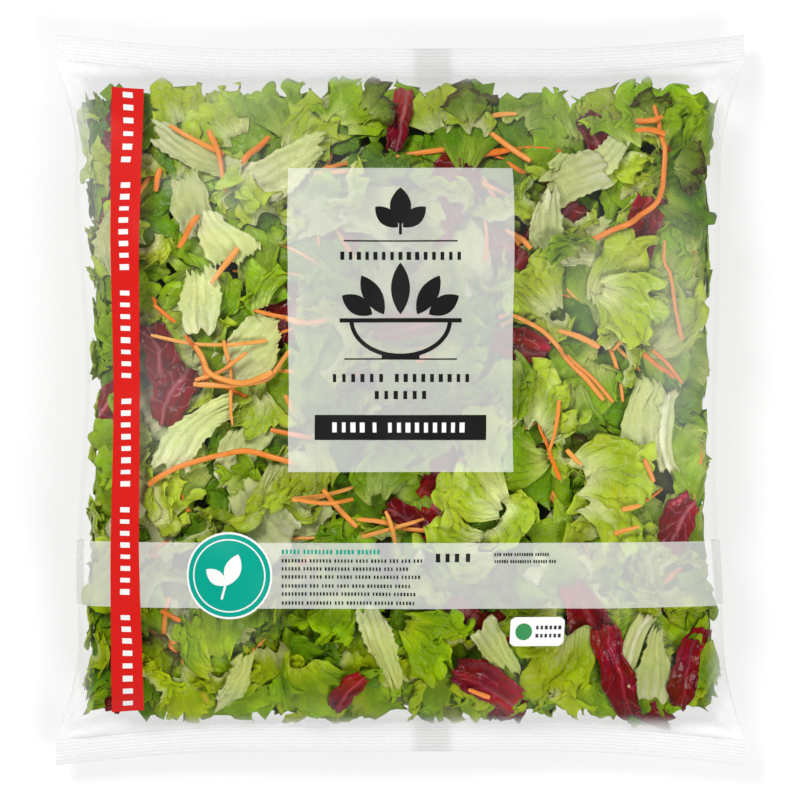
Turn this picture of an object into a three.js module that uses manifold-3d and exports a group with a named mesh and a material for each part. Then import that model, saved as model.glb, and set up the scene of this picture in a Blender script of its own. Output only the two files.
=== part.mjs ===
// A sealed pillow bag of mixed salad leaves, lying on its back with the printed side up.
// The bag is one piece of clear film: a tube closed by a lap seam down the back and by a
// ribbed heat seal across each end. Its contents fill it, so it is one closed solid here.
// Millimetres. +X is to the right and +Y to the top of the printed side, and +Z is up.
// The origin is on the surface that the bag lies on, under the middle of its outline.
import * as THREE from "three";
import { mergeVertices } from "three/addons/utils/BufferGeometryUtils.js";
import Module from "manifold-3d";

// Driving dimensions of the flat bag
const BAG_WIDTH = 300;
const BAG_LENGTH_ON_CENTRE = 305.8;
const CORNER_REACH = 6.5;
const SEAL_DEPTH = 11.6;

// Driving dimensions of the filled bag
const BAG_THICKNESS = 66;
const WAIST_WIDTH = 273.2;
const SHOULDER_WIDTH = 279.6;
const SHOULDER_AT = 98;
const EQUATOR_HEIGHT = 29;
const SAG_INTO_TABLE = 5;
const SIDE_FOLD_THICKNESS = 1.2;

// The ribbed seals at the two ends
const SEAL_HEIGHT = 18;
const SEAL_CORNER_DROOP = 3.5;
const SEAL_OUTWARD_DROOP = 2.5;
const SEAL_WAVE = 1.1;
const SEAL_THICKNESS = 1.2;
const RIBS = 8;
const RIB_HEIGHT = 0.35;
const RIB_MARGIN = 0.12;

// The lap seam down the back
const SEAM_CENTRE = 13.2;
const SEAM_WIDTH = 16;
const SEAM_HEIGHT = 0.8;
const SEAM_EDGE = 0.6;

// How fast the filled bag's forms turn: powers of the curves below
const SECTION_POWER = 2.6;
const FILL_POWER = 5;
const UNDERSIDE_POWER = 6;
const SEAL_LINE_POWER = 3;
const DROOP_POWER = 2.5;
const BOW_POWER = 1.6;
const TAPER_POWER = 1.6;

// Where the ends start to bow out and the sides start to spread towards the seals
const BOW_STARTS_AT_SHARE = 0.45;
const BOW_FROM = 100;
const TAPER_FROM = 105;

// The sides are not quite alike
const SIDE_UNEVENNESS = { height: 0.7, length: 150, phase: 0.6 };
const SEAL_WAVE_LENGTH = 1.3;
const SEAL_WAVE_PHASE = { upper: 0.7, lower: 2.4 };

// Relief in the film where leaves push it out: two sets of soft hills
const LEAF_BULGE = 1.7;
const BROAD_HILLS = { lengthX: 83, phaseX: 1.1, lengthY: 97, phaseY: 0.4 };
const SMALL_HILLS = {
  share: 0.65,
  lengthX: 51,
  phaseX: 2.0,
  shearX: 0.5,
  lengthY: 59,
  phaseY: 0.9,
  shearY: 0.3,
};
const RELIEF_SHARE_BELOW = 0.5;

// Pleats that run from the seals into the film
const PLEAT_HEIGHT = 0.9;
const PLEAT_REACH = 13;
const PLEATS_START = 6;
const COARSE_PLEATS = { length: 23, phase: 0.5 };
const FINE_PLEATS = { share: 0.6, length: 13.7, phase: 1.9 };

// Folds that fan out from the corners
const CORNER_FOLD = 2.4;
const CORNER_FOLD_REACH = 28;
const CORNER_FOLD_STARTS = 2;
const CORNER_FOLD_FULL = 16;
const CORNER_FOLD_COUNT = 9;
const CORNER_FOLD_PHASE = 0.8;
const FOLDS_FADE_AT_SIDE = 0.3;

// Fineness of the mesh
const COLUMNS = 30;
const BELLY_ROWS = 26;
const LEAST_COLUMN_GAP = 2.5;
const ROW_BUNCHING = 0.999;
const NEARLY_ZERO = 0.001;
const SEAM_INNER_EDGE = 0.01;

const HALF_WIDTH = BAG_WIDTH / 2;
const SEAL_OUTER = BAG_LENGTH_ON_CENTRE / 2;
const SEAL_INNER = SEAL_OUTER - SEAL_DEPTH;

const smooth = (a, b, x) => THREE.MathUtils.smoothstep(x, a, b);
const wave = (x, length, phase) => Math.sin((2 * Math.PI * x) / length + phase);

// How far the ends of the seal reach past its middle, where s runs from -1 to 1 across the bag
function cornerBow(s) {
  const t = Math.max(0, (Math.abs(s) - BOW_STARTS_AT_SHARE) / (1 - BOW_STARTS_AT_SHARE));
  return CORNER_REACH * t ** BOW_POWER;
}

// Half the width of the filled bag at a distance y from its middle
function halfWidthAt(y, side) {
  const along = Math.min(Math.abs(y), SHOULDER_AT) / SHOULDER_AT;
  const waist = WAIST_WIDTH / 2;
  const shoulder = SHOULDER_WIDTH / 2;
  const body = waist + ((shoulder - waist) * (1 - Math.cos(Math.PI * along))) / 2;
  const taperLength = SEAL_INNER + CORNER_REACH - TAPER_FROM;
  const toSeal = THREE.MathUtils.clamp((Math.abs(y) - TAPER_FROM) / taperLength, 0, 1);
  const { height, length, phase } = SIDE_UNEVENNESS;
  const uneven = height * side * wave(y, length, phase) * (1 - toSeal);
  return body + (HALF_WIDTH - shoulder) * toSeal ** TAPER_POWER + uneven;
}

// Height of the seal's own line, which sags to its corners and waves a little
function sealLine(s, end) {
  const droop = SEAL_CORNER_DROOP * Math.abs(s) ** DROOP_POWER;
  const phase = end > 0 ? SEAL_WAVE_PHASE.upper : SEAL_WAVE_PHASE.lower;
  return SEAL_HEIGHT - droop + SEAL_WAVE * wave(s, SEAL_WAVE_LENGTH, phase);
}

// Soft hills where leaves push the film out
function leafBulge(x, y) {
  const { lengthX, phaseX, lengthY, phaseY } = BROAD_HILLS;
  const broad = wave(x, lengthX, phaseX) * wave(y, lengthY, phaseY);
  const small = SMALL_HILLS;
  const smallX = wave(x + small.shearX * y, small.lengthX, small.phaseX);
  const smallY = wave(y - small.shearY * x, small.lengthY, small.phaseY);
  return LEAF_BULGE * (broad + small.share * smallX * smallY);
}

// Pleats that run from the seal into the film beside it
function pleat(x, inward) {
  const coarse = wave(x, COARSE_PLEATS.length, COARSE_PLEATS.phase);
  const fine = FINE_PLEATS.share * wave(x, FINE_PLEATS.length, FINE_PLEATS.phase);
  const fading = Math.exp(-inward / PLEAT_REACH) * smooth(0, PLEATS_START, inward);
  return PLEAT_HEIGHT * (coarse + fine) * fading;
}

// Folds that fan out from a corner of the bag
function cornerFold(x, y) {
  const across = Math.max(0, HALF_WIDTH - Math.abs(x));
  const down = Math.max(0, SEAL_INNER + CORNER_REACH - Math.abs(y));
  const reach = Math.hypot(across, down);
  const angle = Math.atan2(across, down + NEARLY_ZERO);
  const fan = Math.cos(CORNER_FOLD_COUNT * angle - CORNER_FOLD_PHASE);
  const fading = Math.exp(-reach / CORNER_FOLD_REACH);
  return CORNER_FOLD * fan * fading * smooth(CORNER_FOLD_STARTS, CORNER_FOLD_FULL, reach);
}

// A pair of points, on the upper and the lower film, at s across the bag and y0 along it
function bellyPair(s, y0) {
  const end = Math.sign(y0) || 1;
  const t = Math.abs(y0) / SEAL_INNER;
  const bow = smooth(BOW_FROM, SEAL_INNER, Math.abs(y0));
  const y = y0 + end * cornerBow(s) * bow;
  const atSide = Math.abs(y0) + CORNER_REACH * bow;
  const x = s * halfWidthAt(end * atSide, Math.sign(s));
  const equator = THREE.MathUtils.lerp(EQUATOR_HEIGHT, sealLine(s, end), t ** SEAL_LINE_POWER);
  const section = Math.sqrt(1 - Math.abs(s) ** SECTION_POWER);
  const inward = SEAL_INNER - Math.abs(y0);
  const fill = 1 - t ** FILL_POWER;
  const folds = pleat(x, inward) + cornerFold(x, y);
  const relief = leafBulge(x, y) * fill * section + folds * smooth(0, FOLDS_FADE_AT_SIDE, section);
  const half = SIDE_FOLD_THICKNESS / 2;
  const rise = (BAG_THICKNESS - equator) * fill * section + relief;
  const sunk = (equator + SAG_INTO_TABLE) * (1 - t ** UNDERSIDE_POWER) * section;
  const fall = sunk - RELIEF_SHARE_BELOW * relief;
  return {
    upper: [x, y, equator + half + Math.max(0, rise)],
    lower: [x, y, equator - half - Math.max(0, fall) - seamHeight(s)],
  };
}

// The same pair in a seal, where q runs from 0 at its inner edge to 1 at the end of the bag
function sealPair(s, q, end, rib) {
  const x = s * HALF_WIDTH;
  const y = end * (SEAL_INNER + q * SEAL_DEPTH + cornerBow(s));
  const middle = sealLine(s, end) - SEAL_OUTWARD_DROOP * q * q;
  const half = SEAL_THICKNESS / 2 + rib * RIB_HEIGHT;
  return {
    upper: [x, y, middle + half],
    lower: [x, y, middle - half - seamHeight(s)],
  };
}

// The lap seam stands out of the lower film along the whole bag
function seamHeight(s) {
  const fromCentre = Math.abs(s * (WAIST_WIDTH / 2) - SEAM_CENTRE);
  const inner = SEAM_WIDTH / 2 - SEAM_INNER_EDGE;
  const outer = SEAM_WIDTH / 2 + SEAM_EDGE;
  return SEAM_HEIGHT * (1 - smooth(inner, outer, fromCentre));
}

// Positions across the bag, closer together towards its sides, with the seam's edges among them
function columnPositions() {
  const across = [];
  for (let i = 0; i <= COLUMNS; i++) {
    across.push(Math.sin((Math.PI / 2) * ((2 * i) / COLUMNS - 1)));
  }
  const half = SEAM_WIDTH / 2;
  const offsets = [-half - SEAM_EDGE, -half, half, half + SEAM_EDGE];
  const seamEdges = offsets.map((offset) => (SEAM_CENTRE + offset) / (WAIST_WIDTH / 2));
  const nearest = LEAST_COLUMN_GAP / HALF_WIDTH;
  const kept = across.filter((s) => seamEdges.every((edge) => Math.abs(s - edge) > nearest));
  return [...kept, ...seamEdges].sort((a, b) => a - b);
}

// Rows of point pairs from the lower end of the bag to its upper end
function rowsOfPairs(columns) {
  const rows = [];
  const sealRows = (end) => {
    const made = [];
    const ribPitch = (1 - 2 * RIB_MARGIN) / (2 * RIBS);
    made.push(columns.map((s) => sealPair(s, 1, end, 0)));
    for (let i = 2 * RIBS; i >= 0; i--) {
      made.push(columns.map((s) => sealPair(s, RIB_MARGIN + i * ribPitch, end, i % 2)));
    }
    return made;
  };
  rows.push(...sealRows(-1));
  const quarter = (Math.PI / 2) * ROW_BUNCHING;
  for (let j = 0; j <= BELLY_ROWS; j++) {
    const along = (2 * j) / BELLY_ROWS - 1;
    const y0 = (SEAL_INNER * Math.sin(quarter * along)) / Math.sin(quarter);
    rows.push(columns.map((s) => bellyPair(s, y0)));
  }
  rows.push(...sealRows(1).reverse());
  return rows;
}

// One closed surface through the pairs: upper film, lower film, two sides and two ends
function bagGeometry() {
  const columns = columnPositions();
  const rows = rowsOfPairs(columns);
  const positions = [];
  const quad = (a, b, c, d) => positions.push(...a, ...b, ...c, ...a, ...c, ...d);
  const last = columns.length - 1;
  for (let j = 0; j + 1 < rows.length; j++) {
    const [near, far] = [rows[j], rows[j + 1]];
    for (let i = 0; i < last; i++) {
      quad(near[i].upper, near[i + 1].upper, far[i + 1].upper, far[i].upper);
      quad(near[i].lower, far[i].lower, far[i + 1].lower, near[i + 1].lower);
    }
    quad(near[0].lower, near[0].upper, far[0].upper, far[0].lower);
    quad(near[last].upper, near[last].lower, far[last].lower, far[last].upper);
  }
  const [first, end] = [rows[0], rows[rows.length - 1]];
  for (let i = 0; i < last; i++) {
    quad(first[i].lower, first[i + 1].lower, first[i + 1].upper, first[i].upper);
    quad(end[i].lower, end[i].upper, end[i + 1].upper, end[i + 1].lower);
  }
  const attribute = new THREE.Float32BufferAttribute(positions, 3);
  return new THREE.BufferGeometry().setAttribute("position", attribute);
}

const WELD_WITHIN = 1e-4;
const wasm = await Module();
wasm.setup();

// A closed three.js geometry as a solid that can be joined and cut
function solidFrom(geometry) {
  const bare = geometry.clone();
  bare.deleteAttribute("normal");
  bare.deleteAttribute("uv");
  const merged = mergeVertices(bare, WELD_WITHIN);
  return new wasm.Manifold(
    new wasm.Mesh({
      numProp: 3,
      vertProperties: merged.attributes.position.array,
      triVerts: new Uint32Array(merged.index.array),
    }),
  );
}

function geometryFrom(solid) {
  const mesh = solid.getMesh();
  return new THREE.BufferGeometry()
    .setAttribute("position", new THREE.BufferAttribute(mesh.vertProperties, 3))
    .setIndex(new THREE.BufferAttribute(mesh.triVerts, 1));
}

// The table flattens the underside: all that would hang below it is cut away
function flattenedUnderside(solid) {
  const depth = 40;
  const below = new THREE.BoxGeometry(2 * BAG_WIDTH, 2 * BAG_WIDTH, depth).translate(0, 0, -depth / 2);
  return solid.subtract(solidFrom(below));
}

const bag = new THREE.Mesh(
  geometryFrom(flattenedUnderside(solidFrom(bagGeometry()))),
  new THREE.MeshStandardMaterial({ color: 0x9cb84e, roughness: 0.25, metalness: 0 }),
);
bag.name = "salad_bag";

const object = new THREE.Group();
object.add(bag);

export default object;
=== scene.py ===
# %% [markdown]
# # A sealed bag of mixed salad leaves
#
# A clear film bag lies on its back, full of cut lettuce, radicchio and carrot shreds.
# The CAD model holds the filled bag as one closed solid, because that is what collides.
# This lesson replaces that solid by what the eye sees: a skin of clear film with ribbed
# seals and a printed front, and under it the real leaves, pressed against the film.

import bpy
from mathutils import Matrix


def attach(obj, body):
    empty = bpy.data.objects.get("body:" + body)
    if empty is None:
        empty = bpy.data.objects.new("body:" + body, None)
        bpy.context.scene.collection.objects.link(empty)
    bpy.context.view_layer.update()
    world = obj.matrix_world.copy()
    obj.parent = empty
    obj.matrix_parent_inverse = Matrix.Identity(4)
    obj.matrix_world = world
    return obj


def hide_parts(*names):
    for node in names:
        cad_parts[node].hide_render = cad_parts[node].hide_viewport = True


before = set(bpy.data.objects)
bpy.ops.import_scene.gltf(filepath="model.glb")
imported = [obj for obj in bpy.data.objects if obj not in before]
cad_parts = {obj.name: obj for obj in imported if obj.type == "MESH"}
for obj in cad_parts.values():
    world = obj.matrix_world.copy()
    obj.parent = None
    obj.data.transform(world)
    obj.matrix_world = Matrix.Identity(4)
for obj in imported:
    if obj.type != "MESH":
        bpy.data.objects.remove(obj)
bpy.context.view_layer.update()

# %% [markdown]
# ## Small tools
#
# All sizes below are in millimetres, as they are in the CAD program, and they become
# metres in one place, where a mesh is made. Long meshes are filled with foreach_set,
# which copies whole arrays, because adding faces one by one would take minutes here.

# %% Meshes from arrays
import math
from functools import partial

import bpy
import numpy as np

MM = 0.001


def new_object(name, data):
    made = bpy.data.objects.new(name, data)
    bpy.context.scene.collection.objects.link(made)
    return made


def point_attribute(mesh, key, values):
    layer = mesh.attributes.new(key, "FLOAT", "POINT")
    layer.data.foreach_set("value", values.astype(np.float32))


def mesh_piece(name, points, faces, material, uv=None, attributes=None):
    """An object whose mesh has these points, in millimetres, and faces of equal corner count"""
    corners = faces.shape[1]
    mesh = bpy.data.meshes.new(name)
    mesh.vertices.add(len(points))
    mesh.vertices.foreach_set("co", (np.asarray(points) * MM).astype(np.float32).ravel())
    mesh.loops.add(faces.size)
    mesh.loops.foreach_set("vertex_index", faces.astype(np.int32).ravel())
    mesh.polygons.add(len(faces))
    mesh.polygons.foreach_set("loop_start", np.arange(0, faces.size, corners, dtype=np.int32))
    mesh.polygons.foreach_set("use_smooth", np.ones(len(faces), dtype=bool))
    if uv is not None:
        layer = mesh.uv_layers.new(name="UVMap")
        layer.data.foreach_set("uv", uv[faces.ravel()].astype(np.float32).ravel())
    for key, values in (attributes or {}).items():
        point_attribute(mesh, key, values)
    mesh.update(calc_edges=True)
    mesh.materials.append(material)
    return new_object(name, mesh)


def grid_faces(rows, columns, start=0, closed=False):
    """Quads between the points of a grid, counted row by row, and joined round if closed"""
    index = start + np.arange(rows * columns).reshape(rows, columns)
    if closed:
        index = np.concatenate([index, index[:, :1]], axis=1)
    quads = np.stack([index[:-1, :-1], index[:-1, 1:], index[1:, 1:], index[1:, :-1]], axis=-1)
    return quads.reshape(-1, 4)


def halved(quads):
    """Two triangles for each quad"""
    return np.concatenate([quads[:, [0, 1, 2]], quads[:, [0, 2, 3]]])


print("a grid of 3 by 4 points has", len(grid_faces(3, 4)), "quads")


# %% Soft steps and waves
def smooth(a, b, x):
    """0 below a, 1 above b and a soft step between"""
    t = np.clip((x - a) / (b - a), 0, 1)
    return t * t * (3 - 2 * t)


def wave(x, length, phase):
    return np.sin(2 * np.pi * x / length + phase)


print("half way up a soft step:", smooth(0, 1, 0.5))

# %% [markdown]
# ## The camera
#
# The photograph looks straight down on the bag from far away, so the camera has a long
# lens. Its distance follows from the width that it has to see at the height of the seals.

# %% Camera
VIEW_WIDTH = 347.8
SEAL_HEIGHT = 18
LENS = 180
SENSOR = 36
CAMERA_DISTANCE = VIEW_WIDTH * LENS / SENSOR

camera_data = bpy.data.cameras.new("camera")
camera_data.lens = LENS
camera_data.sensor_width = SENSOR
camera_data.clip_end = 20
camera = new_object("camera", camera_data)
camera.location = (0, 0, (SEAL_HEIGHT + CAMERA_DISTANCE) * MM)
bpy.context.scene.camera = camera
print("camera height, mm:", round(SEAL_HEIGHT + CAMERA_DISTANCE))

# %% [markdown]
# ## The shape of the filled film
#
# The bag is a tube of film, sealed flat across both ends and swollen by its contents.
# A rule gives each point of it: s runs from -1 to 1 across the bag and y0 runs along it.
# The rule and its sizes are those of the CAD program, so the skin stays on the solid.

# %% Sizes of the film
BAG_WIDTH = 300
BAG_LENGTH_ON_CENTRE = 305.8
CORNER_REACH = 6.5
SEAL_DEPTH = 11.6
BAG_THICKNESS = 66
WAIST_WIDTH = 273.2
SHOULDER_WIDTH = 279.6
SHOULDER_AT = 98
EQUATOR_HEIGHT = 29
SAG_INTO_TABLE = 5
SIDE_FOLD_THICKNESS = 1.2
SEAL_CORNER_DROOP = 3.5
SEAL_OUTWARD_DROOP = 2.5
SEAL_WAVE = 1.1
FILM_SEAL_THICKNESS = 0.5
SEAM_CENTRE = 13.2
SEAM_WIDTH = 16
SEAM_HEIGHT = 0.8
SEAM_EDGE = 0.6
HALF_WIDTH = BAG_WIDTH / 2
SEAL_OUTER = BAG_LENGTH_ON_CENTRE / 2
SEAL_INNER = SEAL_OUTER - SEAL_DEPTH
print("seals run from", round(SEAL_INNER, 1), "to", round(SEAL_OUTER, 1), "mm from the middle")

# %% How fast the filled film turns, and what is uneven in it
SECTION_POWER = 2.6
FILL_POWER = 5
UNDERSIDE_POWER = 6
SEAL_LINE_POWER = 3
DROOP_POWER = 2.5
BOW_POWER = 1.6
TAPER_POWER = 1.6
BOW_STARTS_AT_SHARE = 0.45
BOW_FROM = 100
TAPER_FROM = 105
SIDE_UNEVENNESS = 0.7
SIDE_WAVE_LENGTH = 150
SIDE_WAVE_PHASE = 0.6
SEAL_WAVE_LENGTH = 1.3
UPPER_SEAL_PHASE = 0.7
LOWER_SEAL_PHASE = 2.4
print("power of the section's curve:", SECTION_POWER)


# %% The outline of the film
def corner_bow(s):
    """How far an end of the bag reaches past its middle"""
    t = np.maximum(0, (np.abs(s) - BOW_STARTS_AT_SHARE) / (1 - BOW_STARTS_AT_SHARE))
    return CORNER_REACH * t**BOW_POWER


def half_width_at(y, side):
    along = np.minimum(np.abs(y), SHOULDER_AT) / SHOULDER_AT
    waist = WAIST_WIDTH / 2
    shoulder = SHOULDER_WIDTH / 2
    body = waist + (shoulder - waist) * (1 - np.cos(np.pi * along)) / 2
    taper_length = SEAL_INNER + CORNER_REACH - TAPER_FROM
    to_seal = np.clip((np.abs(y) - TAPER_FROM) / taper_length, 0, 1)
    uneven = SIDE_UNEVENNESS * side * wave(y, SIDE_WAVE_LENGTH, SIDE_WAVE_PHASE) * (1 - to_seal)
    return body + (HALF_WIDTH - shoulder) * to_seal**TAPER_POWER + uneven


def seal_line(s, end):
    """The height of a seal's middle, which droops at its corners"""
    droop = SEAL_CORNER_DROOP * np.abs(s) ** DROOP_POWER
    phase = np.where(end > 0, UPPER_SEAL_PHASE, LOWER_SEAL_PHASE)
    return SEAL_HEIGHT - droop + SEAL_WAVE * wave(s, SEAL_WAVE_LENGTH, phase)


print("half the width at the waist, mm:", round(float(half_width_at(0, 1)), 1))

# %% Bulges, pleats, folds and the lap seam
LEAF_BULGE = 1.7
PLEAT_HEIGHT = 0.9
PLEAT_REACH = 13
PLEATS_START = 6
CORNER_FOLD = 2.4
CORNER_FOLD_REACH = 28
CORNER_FOLD_COUNT = 9
NEARLY_ZERO = 0.001


def leaf_bulge(x, y):
    """Soft hills where leaves push the film out: broad ones and smaller slanted ones"""
    broad = wave(x, 83, 1.1) * wave(y, 97, 0.4)
    middling = 0.65 * wave(x + 0.5 * y, 51, 2.0) * wave(y - 0.3 * x, 59, 0.9)
    return LEAF_BULGE * (broad + middling)


def pleat(x, inward):
    """Pleats run in from a seal and fade, a coarse and a fine set"""
    shape = wave(x, 23, 0.5) + 0.6 * wave(x, 13.7, 1.9)
    return PLEAT_HEIGHT * shape * np.exp(-inward / PLEAT_REACH) * smooth(0, PLEATS_START, inward)


def corner_fold(x, y):
    """Folds fan out from each corner"""
    across = np.maximum(0, HALF_WIDTH - np.abs(x))
    down = np.maximum(0, SEAL_INNER + CORNER_REACH - np.abs(y))
    reach = np.hypot(across, down)
    fan = np.cos(CORNER_FOLD_COUNT * np.arctan2(across, down + NEARLY_ZERO) - 0.8)
    return CORNER_FOLD * fan * np.exp(-reach / CORNER_FOLD_REACH) * smooth(2, 16, reach)


def seam_height(s):
    """The lap seam on the back, a flat strip with soft edges"""
    from_centre = np.abs(s * (WAIST_WIDTH / 2) - SEAM_CENTRE)
    return SEAM_HEIGHT * (1 - smooth(SEAM_WIDTH / 2 - 0.01, SEAM_WIDTH / 2 + SEAM_EDGE, from_centre))


print("a bulge near the middle, mm:", round(float(leaf_bulge(20, 20)), 1))


# %% The rule for a point of the film
def belly_pair(s, y0):
    """Points of the upper and the lower film at s across the bag and y0 along it"""
    end = np.where(y0 < 0, -1.0, 1.0)
    t = np.abs(y0) / SEAL_INNER
    bow = smooth(BOW_FROM, SEAL_INNER, np.abs(y0))
    y = y0 + end * corner_bow(s) * bow
    x = s * half_width_at(end * (np.abs(y0) + CORNER_REACH * bow), np.sign(s))
    line = seal_line(s, end)
    equator = EQUATOR_HEIGHT + (line - EQUATOR_HEIGHT) * t**SEAL_LINE_POWER
    section = np.sqrt(np.maximum(0, 1 - np.abs(s) ** SECTION_POWER))
    fill = 1 - t**FILL_POWER
    folds = pleat(x, SEAL_INNER - np.abs(y0)) + corner_fold(x, y)
    relief = leaf_bulge(x, y) * fill * section + folds * smooth(0, 0.3, section)
    half = SIDE_FOLD_THICKNESS / 2
    rise = np.maximum(0, (BAG_THICKNESS - equator) * fill * section + relief)
    sunk = (equator + SAG_INTO_TABLE) * (1 - t**UNDERSIDE_POWER) * section
    fall = np.maximum(0, sunk - 0.5 * relief)
    upper = np.stack([x, y, equator + half + rise], axis=-1)
    lower = np.stack([x, y, np.maximum(0, equator - half - fall - seam_height(s))], axis=-1)
    return upper, lower


middle_pair = belly_pair(np.array([0.0]), np.array([0.0]))
print("film at the middle, mm:", [round(float(film_point[0, 2]), 1) for film_point in middle_pair])

# %% [markdown]
# ## A map of the skin
#
# Leaves, carrots and print all lie along the film, so they need a map of it: u is the
# distance round the tube in millimetres, 0 on top of the bag, and v is the distance along.
# A second map lies deeper, where the heap's dark middle starts. A height of 0 is on that
# inner map and a height of DEPTH is on the film, so everything between the two bends
# round the bag's sides and thins out towards the seals, as the real contents do.

# %% Sample the skin map
GIRTH = 600
DEPTH = 24
MAP_COLUMNS = 600
MAP_ROWS = 189
MAP_STEP = 2 * SEAL_INNER / (MAP_ROWS - 1)
SECTION_POINTS = 401
SIDE_DEPTH_SHARE = 0.08
FLAT_DEPTH_SHARE = 0.72


def film_sections():
    """Rows of points once round the film, and the height of the middle between its sides"""
    rows = np.linspace(-SEAL_INNER, SEAL_INNER, MAP_ROWS)
    s = np.sin(np.pi / 2 * np.linspace(-1, 1, SECTION_POINTS))
    upper, lower = belly_pair(s[None, :], rows[:, None])
    middle = (upper[..., 2:] + lower[..., 2:]) / 2
    half = SECTION_POINTS // 2
    skin = np.concatenate([upper[:, half:], lower[:, ::-1], upper[:, :half + 1]], axis=1)
    centre = np.concatenate([middle[:, half:], middle[:, ::-1], middle[:, :half + 1]], axis=1)
    return skin, centre


def skin_maps():
    """The film and the inner map, both sampled evenly round the tube, and each row's girth"""
    skin, centre = film_sections()
    core = skin.copy()
    core[..., 0] *= 1 - SIDE_DEPTH_SHARE
    core[..., 2:] += (centre - core[..., 2:]) * FLAT_DEPTH_SHARE
    step = np.linalg.norm(np.diff(skin, axis=1), axis=-1)
    length = np.concatenate([np.zeros((MAP_ROWS, 1)), np.cumsum(step, axis=1)], axis=1)
    even = np.arange(MAP_COLUMNS) / MAP_COLUMNS
    maps = np.zeros((2, MAP_ROWS, MAP_COLUMNS, 3))
    for j in range(MAP_ROWS):
        share = length[j] / length[j, -1]
        for k in range(3):
            maps[0, j, :, k] = np.interp(even, share, skin[j, :, k])
            maps[1, j, :, k] = np.interp(even, share, core[j, :, k])
    return maps[0], maps[1], length[:, -1]


SKIN, CORE, GIRTHS = skin_maps()
print("girth of the filled film, mm:", round(GIRTHS.min()), "to", round(GIRTHS.max()))


# %% Look a point up on a map
def on_map(table, u, v):
    """The point of a map at u round the tube and v along it"""
    column = np.mod(u / GIRTH, 1) * MAP_COLUMNS
    row = (np.clip(v, -SEAL_INNER, SEAL_INNER - 1e-6) + SEAL_INNER) / MAP_STEP
    i = np.floor(column).astype(int)
    j = np.minimum(np.floor(row).astype(int), len(table) - 2)
    fi = (column - i)[..., None]
    fj = (row - j)[..., None]
    i0 = i % MAP_COLUMNS
    i1 = (i + 1) % MAP_COLUMNS
    near = table[j, i0] * (1 - fi) + table[j, i1] * fi
    far = table[j + 1, i0] * (1 - fi) + table[j + 1, i1] * fi
    return near * (1 - fj) + far * fj


def in_bag(u, v, height):
    """The point at a height between the inner map and the film"""
    inner = on_map(CORE, u, v)
    return inner + (on_map(SKIN, u, v) - inner) * (height / DEPTH)[..., None]


top_point = on_map(SKIN, np.array([0.0]), np.array([0.0]))[0]
print("top of the film, mm:", [round(float(value), 1) for value in top_point])

# %% [markdown]
# Places are read from the photograph in its own pixels. The camera sees the top of the
# bag a little larger than the seals, because it is nearer, so the height comes into it.

# %% From a pixel of the photograph to the skin map
PIXEL = VIEW_WIDTH / 800
MIDDLE_PIXEL = 400
TOP_COLUMNS = np.arange(-170, 171)
GUESSED_HEIGHT = 60.0
ROUNDS = 6
STEP_SHARE = 0.8


def on_film(px, py):
    """u and v of the film that shows at a pixel of the photograph"""
    px = np.asarray(px, float)
    py = np.asarray(py, float)
    z = np.full(np.broadcast(px, py).shape, GUESSED_HEIGHT)
    u = np.zeros_like(z)
    v = (MIDDLE_PIXEL - py) * PIXEL + u
    for _ in range(ROUNDS):
        nearer = 1 - (z - SEAL_HEIGHT) / CAMERA_DISTANCE
        x = (px - MIDDLE_PIXEL) * PIXEL * nearer
        y = (MIDDLE_PIXEL - py) * PIXEL * nearer
        v = np.clip(v + STEP_SHARE * (y - on_map(SKIN, u, v)[..., 1]), -SEAL_INNER, SEAL_INNER)
        row = np.clip(np.round((v + SEAL_INNER) / MAP_STEP).astype(int), 0, len(SKIN) - 1)
        for place in np.ndindex(z.shape):
            across = np.maximum.accumulate(SKIN[row[place], TOP_COLUMNS % MAP_COLUMNS, 0])
            u[place] = np.interp(x[place], across + TOP_COLUMNS * 1e-9, TOP_COLUMNS * 1.0)
        z = on_map(SKIN, u, v)[..., 2]
    return u, v


def photo_u(px, py):
    return float(on_film(px, py)[0])


def photo_v(px, py):
    return float(on_film(px, py)[1])


print("one pixel is", round(PIXEL, 3), "mm at the seals")

# %% [markdown]
# ## Finishes
#
# One helper adds any node, sets its settings, fills its sockets and gives back the output
# that the next node needs. A value that is itself an output is linked. On a Mix node,
# colours go into sockets 6 and 7 and come out at 2, and vectors use 4, 5 and 1.

# %% Helpers for materials
SOFT = {"interpolation_type": "SMOOTHSTEP"}
COLOUR = {"data_type": "RGBA", "out": 2}


def linear(code):
    """A colour written as #RRGGBB, as the linear values that a shader wants"""
    parts = [int(code[i:i + 2], 16) / 255 for i in (1, 3, 5)]
    straight = [p / 12.92 if p <= 0.04045 else ((p + 0.055) / 1.055) ** 2.4 for p in parts]
    return (*straight, 1.0)


def add(tree, kind, sockets=None, out=0, **settings):
    """Adds a node with its settings and links, and gives one of its outputs"""
    made = tree.nodes.new(kind)
    for key, value in settings.items():
        setattr(made, key, value)
    for key, value in (sockets or {}).items():
        if isinstance(value, bpy.types.NodeSocket):
            tree.links.new(value, made.inputs[key])
        else:
            made.inputs[key].default_value = value
    return made.outputs[out] if made.outputs else None


def new_material(name):
    """An empty material, and the helper bound to its tree"""
    made = bpy.data.materials.new(name)
    made.use_nodes = True
    made.node_tree.nodes.clear()
    return made, partial(add, made.node_tree)


def per_metre(size_mm):
    """The scale of a texture whose features are this many millimetres wide"""
    return 1 / (size_mm * MM)


print("a mid grey, linear:", [round(v, 3) for v in linear("#808080")])

# %% [markdown]
# ## Leaf finish
#
# A lettuce leaf is wet, thin and full of veins. It is palest along its ribs, where there
# is little green in it, and it lets some light through. A picture of a leaf could be laid
# on, but then all leaves would be alike. So the veins are drawn by nodes in the leaf's own
# UV map: u runs across the leaf and v from its base to its margin. Two point attributes do
# the rest: tint differs from leaf to leaf, and edge is 1 at a cut or a frilled margin.

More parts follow.
